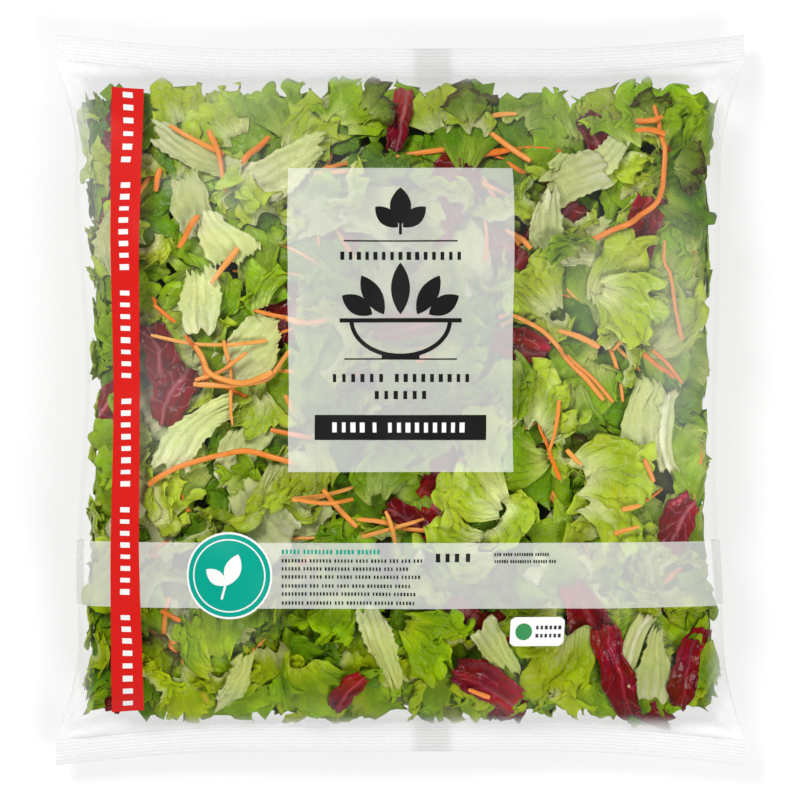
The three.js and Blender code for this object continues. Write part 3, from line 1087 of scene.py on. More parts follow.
for side in TUBE_SIDES:
    scatter(side_draw, DEEP_KINDS, [70, 26, 4, 0, 0], (side - 6, side + 7), (-130, 132), 14, False)
scatter(side_draw, DEEP_KINDS, [80, 14, 3, 3, 0], UNDERSIDE, (-122, 126), 36, False)
print("deep leaves:", leaves_laid())

# %% [markdown]
# ## Carrot shreds
#
# A shred is a long bar with a slightly rounded square section and blunt ends. Each one is
# a path over the heap. A path and a section are what Geometry Nodes sweep into a bar, so
# the next steps only gather the paths, and let them lie on the leaves. Some shreds lie
# deep, so they are laid between two rounds of leaves.

# %% Laying a shred
SHRED_WIDTH = 2.1
SHRED_STEP = 2.2
shreds = []


def smoothed(values):
    """Draws every value between the ends half way to the mean of its neighbours"""
    values[1:-1] = (values[:-2] + values[2:] + 2 * values[1:-1]) / 4
    return values


def lay_shred(rng, u, v, width):
    """Lays a path over the heap along these places and keeps it"""
    length = np.concatenate([[0], np.cumsum(np.hypot(np.diff(u), np.diff(v)))])
    at = np.linspace(0, length[-1], max(6, int(length[-1] / SHRED_STEP)))
    u = np.interp(at, length, u)
    v = np.interp(at, length, v)
    for _ in range(3):
        u = smoothed(u)
        v = smoothed(v)
    i = np.clip(np.round((v + SEAL_INNER) / CELL).astype(int), 2, FIELD_ROWS - 3)
    j = np.round(u / CELL).astype(int)
    near = [(di, dj) for di in (-1, 0, 1) for dj in (-1, 0, 1)]
    under = np.max([field[i + di, (j + dj) % FIELD_COLUMNS] for di, dj in near], axis=0)
    height = under.copy()
    for _ in range(6):
        spaced = np.concatenate([height[:1], height, height[-1:]])
        height = np.maximum(under, (spaced[:-2] + 2 * spaced[1:-1] + spaced[2:]) / 4)
    height = height + 0.6 * width
    for di, dj in near:
        np.maximum.at(field, (i + di, (j + dj) % FIELD_COLUMNS), height + 0.6 * width)
    t = at / length[-1]
    taper = 1 + rng.uniform(-0.25, 0.25) * (2 * t - 1) + 0.06 * ripples(rng, t, 9)
    taper[[0, -1]] *= 0.75
    shreds.append({"u": u, "v": v, "height": height, "width": width * taper,
                   "tint": rng.uniform(0, 1)})


print("a shred is about", SHRED_WIDTH, "mm wide")


# %% Shreds that lie deep
def scatter_shreds(rng, count, u_range):
    """Bent shreds at random places and headings"""
    for _ in range(count):
        middle_u = rng.uniform(*u_range)
        middle_v = rng.uniform(-110, 110)
        heading = rng.uniform(0, np.pi)
        reach = np.linspace(-0.5, 0.5, 7) * rng.uniform(20, 64)
        bow = rng.uniform(-0.3, 0.3) * np.abs(reach) ** 2 / 30
        u = middle_u + reach * np.cos(heading) - bow * np.sin(heading)
        v = middle_v + reach * np.sin(heading) + bow * np.cos(heading)
        lay_shred(rng, u, np.clip(v, -130, 130), SHRED_WIDTH * rng.uniform(0.6, 1.15))


shred_draw = np.random.default_rng(11)
scatter_shreds(shred_draw, 26, (165, 435))
scatter_shreds(shred_draw, 70, (-140, 140))
scatter(draw, DEEP_KINDS, [62, 30, 6, 2, 0], (-146, 146), (-120, 124), 33, False)
print("deep shreds:", len(shreds))

# %% The rounds that show
# A row along each seal, its margins outwards, then three rounds over the printed side
SEAL_ROW_KINDS = ["green_curly", "light_curly", "dark_curly"]
SEAL_ROW_AT = 126
for end, shares, outwards in ((-1, [0.48, 0.14, 0.38], 180), (1, [0.42, 0.40, 0.18], 0)):
    for u in np.arange(-140, 141, 20):
        kind = SEAL_ROW_KINDS[draw.choice(3, p=shares)]
        heading = outwards + draw.uniform(-40, 40)
        lay(draw, kind, u + draw.uniform(-6, 6), end * SEAL_ROW_AT, draw.uniform(24, 34),
            draw.uniform(30, 42), heading, True)
TOP_KINDS = ["light_curly", "green_curly", "dark_curly", "bronze_curly", "iceberg", "radicchio", "rib"]
scatter(draw, TOP_KINDS, [14, 44, 36, 3, 2, 1, 0], (-156, 156), (-124, -78), 34, True)
scatter(draw, TOP_KINDS, [37, 32, 15, 2, 12, 1, 1], (-156, 156), (-84, 126), 35, True)
scatter(draw, ["frill"], [1], (-152, 152), (-130, 134), 39, True)
print("after the rounds that show:", leaves_laid())

# %% Leaves laid one by one
# Kind, and for each leaf its place in pixels, its length, its width and its heading
LAID_BY_HAND = [
    ("radicchio", [
        (400, 118, 28, 13, 170), (152, 354, 26, 19, 10), (165, 396, 28, 18, 330),
        (610, 136, 24, 16, 30), (655, 226, 26, 16, 170), (526, 345, 26, 18, 80),
        (405, 325, 30, 16, 100), (415, 522, 28, 14, 60), (690, 522, 26, 16, 140),
        (596, 622, 34, 17, 200), (470, 616, 20, 11, 50), (88, 685, 20, 12, 20),
        (105, 115, 12, 8, 0), (106, 142, 12, 8, 60), (107, 176, 12, 10, 0),
    ]),
    ("iceberg", [(612, 160, 56, 18, 120)]),
    ("rib", [(673, 432, 34, 10, 5), (640, 652, 32, 9, 350)]),
    ("iceberg", [
        (664, 664, 30, 20, 352), (650, 425, 36, 18, 15), (100, 240, 36, 18, 5),
        (190, 156, 48, 12, 235), (285, 165, 34, 24, 290), (182, 203, 26, 24, 20),
        (212, 237, 25, 23, 200), (192, 300, 27, 24, 10), (245, 350, 30, 26, 300),
        (184, 430, 40, 22, 325), (255, 522, 34, 26, 40), (232, 685, 26, 13, 320),
        (583, 176, 28, 20, 100), (552, 226, 30, 17, 190),
    ]),
    ("green_curly", [(433, 640, 34, 38, 240)]),
    ("iceberg", [
        (500, 650, 24, 16, 200), (520, 410, 32, 14, 110), (382, 650, 38, 17, 190),
    ]),
    ("light_curly", [
        (635, 268, 44, 46, 320), (545, 285, 34, 36, 30), (614, 478, 46, 56, 290),
        (560, 690, 44, 52, 160), (470, 488, 40, 50, 60),
    ]),
    ("green_curly", [(185, 640, 42, 52, 40)]),
    ("light_curly", [(560, 410, 36, 40, 330)]),
    ("green_curly", [(660, 100, 36, 50, 0)]),
    ("dark_curly", [(690, 190, 32, 44, 270)]),
    ("light_curly", [(300, 470, 40, 48, 200)]),
    ("green_curly", [(110, 450, 34, 44, 100)]),
    ("light_curly", [(105, 560, 34, 46, 80)]),
    ("green_curly", [(300, 690, 36, 46, 180)]),
    ("radicchio", [
        (622, 684, 42, 14, 200), (692, 686, 28, 18, 160), (490, 692, 32, 17, 60),
        (345, 692, 20, 10, 140),
    ]),
    ("light_curly", [(690, 330, 36, 42, 300)]),
    ("bronze_curly", [
        (470, 98, 19, 28, 0), (700, 165, 18, 26, 280), (668, 84, 14, 18, 10),
        (375, 100, 18, 22, 330), (95, 650, 18, 24, 100),
    ]),
]
hand_draw = np.random.default_rng(7)


def lay_by_hand(leaves, slope):
    for kind, places in leaves:
        for px, py, length, width, heading in places:
            u = photo_u(px, py)
            v = photo_v(px, py)
            lay(hand_draw, kind, u, v, length, width, heading, True, slope=slope)


lay_by_hand(LAID_BY_HAND, 0.04)
print("leaves in the bag:", leaves_laid())

# %% The shreds that show
# The places that each one passes, in pixels
SHREDS = [
    [(165, 125), (190, 140), (215, 153)],
    [(237, 163), (250, 148), (262, 135)],
    [(193, 215), (181, 231), (170, 247)],
    [(230, 247), (218, 264), (205, 283)],
    [(80, 127), (86, 143), (90, 158)],
    [(150, 168), (146, 180), (142, 190)],
    [(140, 297), (155, 310), (170, 322)],
    [(240, 307), (262, 314), (287, 318)],
    [(145, 335), (185, 344), (225, 345), (260, 340)],
    [(180, 335), (194, 360), (200, 385)],
    [(218, 340), (224, 380), (228, 425)],
    [(187, 384), (225, 386), (262, 380), (285, 350)],
    [(495, 115), (508, 113), (520, 113)],
    [(495, 132), (515, 146), (535, 160)],
    [(660, 105), (670, 122), (674, 155), (672, 185), (662, 206), (640, 220), (600, 240), (560, 260)],
    [(672, 240), (679, 270), (683, 305), (690, 340)],
    [(515, 315), (545, 328), (580, 360), (615, 400)],
    [(565, 330), (588, 336), (608, 347)],
    [(660, 318), (642, 334), (625, 350)],
    [(663, 350), (678, 364), (690, 383)],
    [(512, 228), (526, 236), (535, 248)],
    [(140, 485), (170, 467), (205, 457), (240, 450), (290, 463)],
    [(265, 430), (290, 435), (310, 438)],
    [(290, 500), (320, 497), (350, 488)],
    [(320, 490), (335, 510), (355, 528)],
    [(355, 520), (380, 522), (405, 530), (430, 532)],
    [(360, 538), (390, 530), (425, 520)],
    [(385, 512), (392, 525), (395, 545)],
    [(545, 425), (553, 450), (565, 480)],
    [(565, 400), (562, 425), (552, 452)],
    [(573, 450), (580, 458), (587, 465)],
    [(650, 460), (657, 470), (663, 482)],
    [(190, 380), (214, 372), (240, 352)],
    [(630, 510), (642, 508), (650, 506)],
    [(622, 535), (634, 530), (645, 527)],
    [(205, 130), (211, 150), (218, 190)],
    [(470, 690), (480, 694), (492, 698)],
    [(645, 120), (655, 122), (668, 116)],
    [(575, 355), (600, 375), (625, 402)],
    [(296, 500), (325, 505), (350, 500)],
    [(150, 612), (160, 616), (172, 622)],
    [(283, 318), (300, 324), (325, 320)],
    [(190, 345), (205, 375), (240, 385), (268, 372)],
    [(640, 130), (660, 128), (672, 134)],
]
for path in SHREDS:
    u, v = on_film(*np.array(path).T)
    lay_shred(shred_draw, u, np.clip(v, -134, 134), SHRED_WIDTH * shred_draw.uniform(0.7, 1.2))
print("shreds:", len(shreds))

# %% Some leaves come down over the shreds
LAID_LAST = [
    ("light_curly", [(640, 300, 36, 40, 250)]),
    ("green_curly", [(520, 380, 30, 34, 200), (245, 290, 24, 26, 20)]),
    ("light_curly", [(470, 560, 34, 40, 120)]),
    ("green_curly", [(370, 470, 32, 40, 10)]),
    ("light_curly", [(230, 180, 22, 24, 150)]),
    ("green_curly", [(590, 240, 22, 22, 30)]),
]
lay_by_hand(LAID_LAST, 0.03)
print("leaves in the bag:", leaves_laid())

# %% [markdown]
# The heap now has its own heights, which are too much in some places and too little in
# others. A softened copy of the height field says where its general top is, and that top
# is moved to just under the film. Scaling would flatten every frill, so heights are only
# moved, and what stands out above or lies far below is drawn in by a soft limit.

# %% Bring the heap up to the film
FILM_CLEARANCE = 0.6
FLATTENED = 4.4
TOP_LEVEL = DEPTH - FILM_CLEARANCE - FLATTENED
general_top = spread(spread(spread(field, 4, np.max), 6, np.mean), 6, np.mean)


def limited(x, limit):
    """Grows like x at first and never passes the limit"""
    x = np.maximum(0, x)
    return x / (1 + x / limit)


def pressed(u, v, height):
    """Heights of the heap once the film presses on it"""
    row = np.clip((v + SEAL_INNER) / CELL, 0, FIELD_ROWS - 1.001)
    column = u / CELL
    i = np.floor(row).astype(int)
    j = np.floor(column).astype(int)
    fi = row - i
    fj = column - j
    j0 = j % FIELD_COLUMNS
    j1 = (j + 1) % FIELD_COLUMNS
    high = (
        general_top[i, j0] * (1 - fi) * (1 - fj)
        + general_top[i + 1, j0] * fi * (1 - fj)
        + general_top[i, j1] * (1 - fi) * fj
        + general_top[i + 1, j1] * fi * fj
    )
    return TOP_LEVEL + limited(height - high, FLATTENED) - limited(high - height, TOP_LEVEL)


print("heap before pressing, mm: middle", round(float(np.median(field)), 1), "most",
      round(float(field.max()), 1))

# %% [markdown]
# ## From sheets to leaves
#
# Each sheet gets its thickness here. Solidify could do it, but one modifier for each leaf
# would be slow. The two faces stand half the thickness to either side of the sheet, along
# its own normal, and a strip closes them round the rim, so each leaf is a closed thin
# solid. All leaves of a kind then become one mesh.

# %% One solid leaf
RIM_SHARE = 0.45


def solid_leaf(points, thickness):
    """Points and quads of a closed leaf round a sheet of points"""
    rows, columns = thickness.shape
    normal = np.cross(np.gradient(points, axis=1), np.gradient(points, axis=0))
    normal /= np.linalg.norm(normal, axis=-1, keepdims=True) + 1e-9
    taper = np.ones((rows, columns))
    taper[[0, -1], :] = RIM_SHARE
    taper[:, [0, -1]] = RIM_SHARE
    offset = normal * (thickness * taper / 2)[..., None]
    count = rows * columns
    index = np.arange(count).reshape(rows, columns)
    ring = np.concatenate([index[0, :-1], index[:-1, -1], index[-1, :0:-1], index[:0:-1, 0]])
    following = np.roll(ring, -1)
    rim = np.stack([ring, ring + count, following + count, following], axis=1)
    faces = [grid_faces(rows, columns), grid_faces(rows, columns, count)[:, ::-1], rim]
    sides = [(points + offset).reshape(-1, 3), (points - offset).reshape(-1, 3)]
    return np.concatenate(sides), np.concatenate(faces)


def joined(pieces):
    """Points and faces of many meshes as those of one"""
    starts = np.cumsum([0] + [len(points) for points, _ in pieces])
    faces = [piece_faces + start for (_, piece_faces), start in zip(pieces, starts)]
    return np.concatenate([points for points, _ in pieces]), np.concatenate(faces)


print("thickness at a rim, as a share:", RIM_SHARE)


# %% Build the leaf meshes
def ride_root(piece):
    """Every piece of this bag rides on its one body"""
    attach(piece, "root")
    print(piece.name, len(piece.data.polygons), "faces")


def leaf_piece(name, sheets, material):
    """One mesh of all leaves of a kind"""
    leaves = []
    uv = []
    tint = []
    edge = []
    for sheet in sheets:
        height = pressed(sheet["place_u"], sheet["place_v"], sheet["height"])
        middle = in_bag(sheet["place_u"], sheet["place_v"], height)
        leaves.append(solid_leaf(middle, sheet["thickness"]))
        flat = np.stack([sheet["u"].ravel(), sheet["v"].ravel()], axis=1)
        uv += [flat, flat]
        tint.append(np.full(2 * len(flat), sheet["tint"]))
        edge.append(np.tile(sheet["edge"].ravel(), 2))
    values = {"tint": np.concatenate(tint), "edge": np.concatenate(edge)}
    piece = mesh_piece(name, *joined(leaves), material, np.concatenate(uv), values)
    ride_root(piece)


LEAF_PIECES = [
    ("light_curly", light_curly, "lettuce"),
    ("frill", light_curly, "lettuce"),
    ("packed_curly", green_curly, "lettuce"),
    ("green_curly", green_curly, "lettuce"),
    ("dark_curly", dark_curly, "lettuce"),
    ("bronze_curly", bronze_curly, "lettuce"),
    ("iceberg", crisp_pale, "iceberg"),
    ("rib", crisp_pale, "iceberg"),
    ("radicchio", radicchio_red, "radicchio"),
]
for kind, material, slot in LEAF_PIECES:
    leaf_piece(kind + "_leaves", heap[kind], material)

# %% [markdown]
# ## Sweep the shreds with Geometry Nodes
#
# The paths go into one mesh of edges, with the width of the shred kept on its points. The
# tree turns edges into curves, sweeps a rounded square along them with filled ends, and
# sets the material. The evaluated result is copied into a plain mesh.

# %% Geometry Nodes helpers
def new_tree(name, inputs):
    """A geometry tree with named inputs, the helper bound to it, and its inputs' outputs"""
    tree = bpy.data.node_groups.new(name, "GeometryNodeTree")
    tree.interface.new_socket("Geometry", in_out="INPUT", socket_type="NodeSocketGeometry")
    for key, value in inputs.items():
        kind = {float: "Float", int: "Int"}.get(type(value), "Material")
        socket = tree.interface.new_socket(key, in_out="INPUT", socket_type="NodeSocket" + kind)
        if value is not None:
            socket.default_value = value
    tree.interface.new_socket("Geometry", in_out="OUTPUT", socket_type="NodeSocketGeometry")
    node = partial(add, tree)
    return tree, node, node("NodeGroupInput").node.outputs


def close_tree(node, geometry, material):
    """Makes instances real and sets the material, as every tree here ends"""
    whole = node("GeometryNodeRealizeInstances", {"Geometry": geometry})
    finished = node("GeometryNodeSetMaterial", {"Geometry": whole, "Material": material})
    node("NodeGroupOutput", {"Geometry": finished})


def applied(source, tree, values, name):
    """Runs a geometry tree on an object and returns the result as a plain mesh object"""
    modifier = source.modifiers.new("tree", "NODES")
    modifier.node_group = tree
    for item in tree.interface.items_tree:
        if item.in_out == "INPUT" and item.name in values:
            modifier[item.identifier] = values[item.name]
    evaluated = source.evaluated_get(bpy.context.evaluated_depsgraph_get())
    mesh = bpy.data.meshes.new_from_object(evaluated)
    mesh.name = name
    bpy.data.objects.remove(source)
    return new_object(name, mesh)


print("geometry trees so far:", len(bpy.data.node_groups))


# %% Sweep the shreds
def shred_tree():
    tree, node, inputs = new_tree(
        "swept_shreds", {"Width": 1.0, "Height": 0.7, "Corner": 0.1, "Material": None}
    )
    width = node(
        "GeometryNodeInputNamedAttribute", {"Name": "width"}, "Attribute", data_type="FLOAT"
    )
    curve = node("GeometryNodeMeshToCurve", {"Mesh": inputs["Geometry"]})
    sized = node("GeometryNodeSetCurveRadius", {"Curve": curve, "Radius": width})
    square = node(
        "GeometryNodeCurvePrimitiveQuadrilateral",
        {"Width": inputs["Width"], "Height": inputs["Height"]},
    )
    rounded = node(
        "GeometryNodeFilletCurve", {"Curve": square, "Count": 1, "Radius": inputs["Corner"]},
        mode="POLY",
    )
    swept = node("GeometryNodeCurveToMesh", {
        "Curve": sized, "Profile Curve": rounded, "Scale": width, "Fill Caps": True
    })
    close_tree(node, swept, inputs["Material"])
    return tree


def shred_paths():
    """One mesh of edges with every shred's path, and its width and tint at each point"""
    paths = []
    for shred in shreds:
        height = pressed(shred["u"], shred["v"], shred["height"])
        height = np.minimum(height, DEPTH - 0.3 - shred["width"] / 2)
        path = in_bag(shred["u"], shred["v"], height)
        steps = np.arange(len(path) - 1)
        paths.append((path, np.stack([steps, steps + 1], axis=1)))
    points, edges = joined(paths)
    mesh = bpy.data.meshes.new("shred_paths")
    mesh.from_pydata(points * MM, edges.tolist(), [])
    point_attribute(mesh, "width", np.concatenate([shred["width"] for shred in shreds]))
    tints = [np.full(len(shred["u"]), shred["tint"]) for shred in shreds]
    point_attribute(mesh, "tint", np.concatenate(tints))
    return new_object("shred_paths", mesh)


SHARP_OVER = 50
carrots = applied(
    shred_paths(), shred_tree(),
    {"Width": MM, "Height": 0.7 * MM, "Corner": 0.2 * MM, "Material": carrot_orange},
    "carrot_shreds",
)
carrots.data.set_sharp_from_angle(angle=math.radians(SHARP_OVER))
ride_root(carrots)

# %% [markdown]
# ## The core
#
# Deep between the leaves there are only more leaves, too dark to tell apart. More rounds of
# leaves would cost many triangles that nobody sees, so one closed, bumpy form on the inner
# map stands for them, and no light falls through the heap. Its dark tones are painted shade.

# %% Core
CORE_ENDS_AT = 118
CORE_ROWS = 44
CORE_COLUMNS = 130
CORE_SWELL = 0.10
CORE_SUNK = 0.12
BUMP_SIZE = 26


def core_piece():
    """A bumpy tube on the inner map, closed at each end by a fan"""
    along = np.linspace(-CORE_ENDS_AT, CORE_ENDS_AT, CORE_ROWS)
    around = np.arange(CORE_COLUMNS) * GIRTH / CORE_COLUMNS
    v, u = np.meshgrid(along, around, indexing="ij")
    points = on_map(CORE, u, v)
    outward = on_map(SKIN, u, v) - points
    bumps = rumple(np.random.default_rng(3), points[..., 0], points[..., 1], BUMP_SIZE)
    points = points + outward * (CORE_SWELL * bumps - CORE_SUNK)[..., None]
    ends = np.array([points[0].mean(axis=0), points[-1].mean(axis=0)])
    count = CORE_ROWS * CORE_COLUMNS
    first = np.arange(CORE_COLUMNS)
    last = first + count - CORE_COLUMNS
    fans = [
        np.stack([np.roll(first, -1), first, np.full(CORE_COLUMNS, count)], axis=1),
        np.stack([last, np.roll(last, -1), np.full(CORE_COLUMNS, count + 1)], axis=1),
    ]
    faces = np.concatenate([halved(grid_faces(CORE_ROWS, CORE_COLUMNS, closed=True)), *fans])
    points = np.concatenate([points.reshape(-1, 3), ends])
    return mesh_piece("salad_core", points, faces[:, ::-1], painted_shade_core)


ride_root(core_piece())

# %% [markdown]
# ## Clear film
#
# The film is stretched polypropylene, cast and drawn thin, so it is clear, stiff and
# glossy. Glass with refraction would bend the leaves and cost much time, but film this thin
# hardly bends light. So most light goes straight through, some is mirrored, more so at a
# slant, and a little is scattered as a white haze: in milky patches, where it is partly a
# painted sheen; past the leaves, where its white is also painted light over the shade under
# the bag; and in the seals, where two layers are crimped together and three where the lap
# seam runs in, with painted shade along the ribs.

# %% Haze in the film
RIBS = 8
MILKY_PATCH = 60
PAST_LEAVES_HAZE_AND_LIGHT = 0.65


def film_haze(node, place, kept):
    """The share of the film that scatters white light: a real haze, with a painted sheen in the milky
    places, painted light past the leaves and painted shade along the seal's ribs
    """
    broad = node(
        "ShaderNodeTexNoise", {"Vector": place, "Scale": per_metre(MILKY_PATCH), "Detail": 2.0}
    )
    # Broad milky patches: partly haze, partly a painted sheen
    milky = node(
        "ShaderNodeMapRange",
        {"Value": broad, "From Min": 0.56, "From Max": 0.74, "To Max": 0.03}, **SOFT
    )
    mist_and_sheen = node("ShaderNodeMath", {0: kept["loose_haze_and_sheen"], 1: milky}, operation="ADD")
    # Past the leaves the haze is strong, and its white is painted light over the shade under the bag
    haze_sheen_and_light = node(
        "ShaderNodeMath", {0: kept["empty"], 1: PAST_LEAVES_HAZE_AND_LIGHT, 2: mist_and_sheen}, operation="MULTIPLY_ADD"
    )
    # Painted shade along the seal: the haze rises and falls with each crimped rib
    ribs = {0: kept["place_in_seal"], 1: 2 * math.pi * RIBS}
    turn = node("ShaderNodeMath", ribs, operation="MULTIPLY")
    swing = node("ShaderNodeMath", {0: turn}, operation="COSINE")
    rib_haze_and_shade = node(
        "ShaderNodeMapRange", {"Value": swing, "From Min": -1.0, "To Min": 0.5, "To Max": 0.78}
    )
    return node(
        "ShaderNodeMath", {0: kept["sealed"], 1: rib_haze_and_shade, 2: haze_sheen_and_light}, operation="MULTIPLY_ADD"
    )


print("ribs in a seal:", RIBS)

# %% Film material
# Polypropylene film, cast and stretched: clear and thin, with sharp soft-edged glints that
# ripple along the bag, and a matt greyish white where it is crimped
FILM_KEEPS = ("sealed", "empty", "loose_haze_and_sheen", "place_in_seal", "seam")
MOST_MIRRORED = 0.22


def film_material():
    made, node = new_material("clear_polypropylene_film")
    place = node("ShaderNodeTexCoord", out="Object")
    kept = {key: node("ShaderNodeAttribute", out="Fac", attribute_name=key) for key in FILM_KEEPS}
    haze = film_haze(node, place, kept)
    stretch = node("ShaderNodeMapping", {"Vector": place, "Scale": (1.0, 0.35, 1.0)})
    ripple = node("ShaderNodeTexNoise", {"Vector": stretch, "Scale": per_metre(9), "Detail": 2.0})
    bump = node("ShaderNodeBump", {"Height": ripple, "Strength": 0.35, "Distance": MM})
    fresnel = node("ShaderNodeFresnel", {"IOR": 1.14, "Normal": bump})
    slant = node("ShaderNodeMath", {0: fresnel, 1: MOST_MIRRORED}, operation="MINIMUM")
    passed = {0: kept["seam"], 6: linear("#FFFFFF"), 7: linear("#F0F0EE")}
    clear = node("ShaderNodeBsdfTransparent", {"Color": node("ShaderNodeMix", passed, **COLOUR)})
    mirror = node(
        "ShaderNodeBsdfGlossy", {"Color": linear("#FFFFFF"), "Roughness": 0.16, "Normal": bump}
    )
    crimped = {0: kept["sealed"], 6: linear("#F2F2F2"), 7: linear("#E8E8E8")}
    lapped = {0: kept["seam"], 6: node("ShaderNodeMix", crimped, **COLOUR), 7: linear("#DEDEDE")}
    milk = node("ShaderNodeBsdfDiffuse", {"Color": node("ShaderNodeMix", lapped, **COLOUR)})
    glazed = node("ShaderNodeMixShader", {0: slant, 1: clear, 2: mirror})
    whole = node("ShaderNodeMixShader", {0: haze, 1: glazed, 2: milk})
    node("ShaderNodeOutputMaterial", {"Surface": whole})
    return made


clear_film = film_material()
print("nodes in the film's material:", len(clear_film.node_tree.nodes))

# %% [markdown]
# The film's mesh is one closed skin: rows of points from one end of the bag to the other,
# each row once over the top and back under the bottom. The crimped ribs of a seal repeat
# at an even pitch, so a Geometry Nodes tree raises them afterwards, from an attribute that
# runs from 0 at the inner edge of the seal to 1 at the end of the bag.

# %% Rows of the film
FILM_COLUMNS = 150
BELLY_ROWS = 112
SEAL_ROWS = 40
ROW_BUNCHING = 0.999


def seal_pair(s, q, end):
    """Points of the upper and the lower film at q across a seal, 0 inside and 1 outside"""
    x = s * HALF_WIDTH
    y = end * (SEAL_INNER + q * SEAL_DEPTH + corner_bow(s))
    middle = seal_line(s, end) - SEAL_OUTWARD_DROOP * q**2
    thicker = (SIDE_FOLD_THICKNESS - FILM_SEAL_THICKNESS) / 2
    half = FILM_SEAL_THICKNESS / 2 + thicker * (1 - smooth(0, 0.1, q))
    upper = np.stack([x, y, middle + half], axis=-1)
    lower = np.stack([x, y, middle - half - 0.5 * seam_height(s)], axis=-1)
    return upper, lower


def film_rows():
    """Upper points, lower points and place in the seal of each row, from end to end"""
    s = np.sin(np.pi / 2 * np.linspace(-1, 1, FILM_COLUMNS))
    rows = [(*seal_pair(s, q, -1.0), q) for q in np.linspace(1, 0, SEAL_ROWS)[:-1]]
    for t in np.linspace(-1, 1, BELLY_ROWS):
        bunched = np.sin(np.pi / 2 * t * ROW_BUNCHING) / np.sin(np.pi / 2 * ROW_BUNCHING)
        y0 = SEAL_INNER * (0.5 * t + 0.5 * bunched)
        rows.append((*belly_pair(s, np.full_like(s, y0)), 0.0))
    return rows + [(*seal_pair(s, q, 1.0), q) for q in np.linspace(0, 1, SEAL_ROWS)[1:]]


print("rows of the film:", len(film_rows()))

# %% What the film keeps at its points
# Where the film lies loose and milky, partly a real haze and partly a painted sheen: place, half width
# and half height in pixels, strength
HAZE_AND_SHEEN_PLACES = [
    (670, 340, 30, 120, 0.20),
    (85, 190, 35, 110, 0.20),
    (600, 300, 60, 70, 0.10),
    (240, 110, 60, 30, 0.10),
    (150, 390, 50, 60, 0.08),
    (560, 120, 70, 30, 0.06),
    (250, 190, 50, 60, 0.06),
]


def film_values(points, place_in_seal, side):
    """side is 1 on the upper film and -1 on the lower. sealed, empty, the milky places' value and
    seam say how much a point is in a seal, past the leaves, in a milky place, whose white is partly a
    painted sheen, and in the lap seam"""
    x, y = points[:, 0], points[:, 1]
    sealed = smooth(0, 0.06, place_in_seal)
    # Beside the leaves and towards the ends the film is hazier, which paints light over the shade
    # under the bag
    beside = smooth(131, 140, np.abs(x)) * (0.03 + 0.55 * smooth(80, 130, np.abs(y)))
    empty = np.maximum(smooth(136, 144, np.abs(y)), beside) * (1 - sealed)
    loose_haze_and_sheen = np.zeros(len(points))
    for px, py, wide, tall, strength in HAZE_AND_SHEEN_PLACES:
        far_x = (x - (px - MIDDLE_PIXEL) * PIXEL) / (wide * PIXEL)
        far_y = (y - (MIDDLE_PIXEL - py) * PIXEL) / (tall * PIXEL)
        loose_haze_and_sheen = np.maximum(loose_haze_and_sheen, strength * np.exp(-(far_x**2) - far_y**2) * (side > 0))
    from_seam = np.abs(x - SEAM_CENTRE)
    in_seam = 1 - smooth(SEAM_WIDTH / 2 - 0.8, SEAM_WIDTH / 2 + 0.8, from_seam)
    return {"place_in_seal": place_in_seal, "side": side, "sealed": sealed, "empty": empty,
            "seam": np.maximum(side < 0, sealed) * in_seam, "loose_haze_and_sheen": loose_haze_and_sheen}


print("milky places:", len(HAZE_AND_SHEEN_PLACES))


# %% Film mesh
def film_source():
    """The closed skin of film, before its seals are crimped"""
    rows = film_rows()
    around = 2 * FILM_COLUMNS
    points = np.array([np.concatenate([upper, lower[::-1]]) for upper, lower, _ in rows])
    points = points.reshape(-1, 3)
    over = np.arange(FILM_COLUMNS - 1)
    under = around - 1 - over
    first = np.stack([over, under, under - 1, over + 1], axis=1)
    last = first[:, ::-1] + len(points) - around
    quads = np.concatenate([grid_faces(len(rows), around, closed=True), first, last])
    place_in_seal = np.repeat([q for _, _, q in rows], around)
    side = np.tile(np.repeat([1.0, -1.0], FILM_COLUMNS), len(rows))
    values = film_values(points, place_in_seal, side)
    print("film height, mm:", round(points[:, 2].max(), 1))
    return mesh_piece("film_source", points, quads, clear_film, attributes=values)


print("points once round the film:", 2 * FILM_COLUMNS)


# %% Crimp the seals
RIB_HEIGHT = 0.22
RIB_MARGIN = 0.12


def crimp_tree():
    """Lifts the film off the middle of the seal in ribs, by a cosine of the place in the seal"""
    tree, node, inputs = new_tree(
        "crimped_seal", {"Ribs": 8.0, "Rib height": 0.0002, "Margin": 0.1, "Material": None}
    )
    named = "GeometryNodeInputNamedAttribute"
    place = node(named, {"Name": "place_in_seal"}, "Attribute", data_type="FLOAT")
    side = node(named, {"Name": "side"}, "Attribute", data_type="FLOAT")
    end = node("ShaderNodeMath", {0: 1.0, 1: inputs["Margin"]}, operation="SUBTRACT")
    count = node("ShaderNodeMapRange", {
        "Value": place, "From Min": inputs["Margin"], "From Max": end, "To Max": inputs["Ribs"]
    })
    angle = node("ShaderNodeMath", {0: count, 1: 2 * math.pi}, operation="MULTIPLY")
    swing = node("ShaderNodeMath", {0: angle}, operation="COSINE")
    lifted = node("ShaderNodeMath", {0: swing, 1: -0.5, 2: 0.5}, operation="MULTIPLY_ADD")
    tall = node("ShaderNodeMath", {0: lifted, 1: inputs["Rib height"]}, operation="MULTIPLY")
    signed = node("ShaderNodeMath", {0: tall, 1: side}, operation="MULTIPLY")
    offset = node("ShaderNodeCombineXYZ", {"Z": signed})
    moved = node("GeometryNodeSetPosition", {"Geometry": inputs["Geometry"], "Offset": offset})
    close_tree(node, moved, inputs["Material"])
    return tree


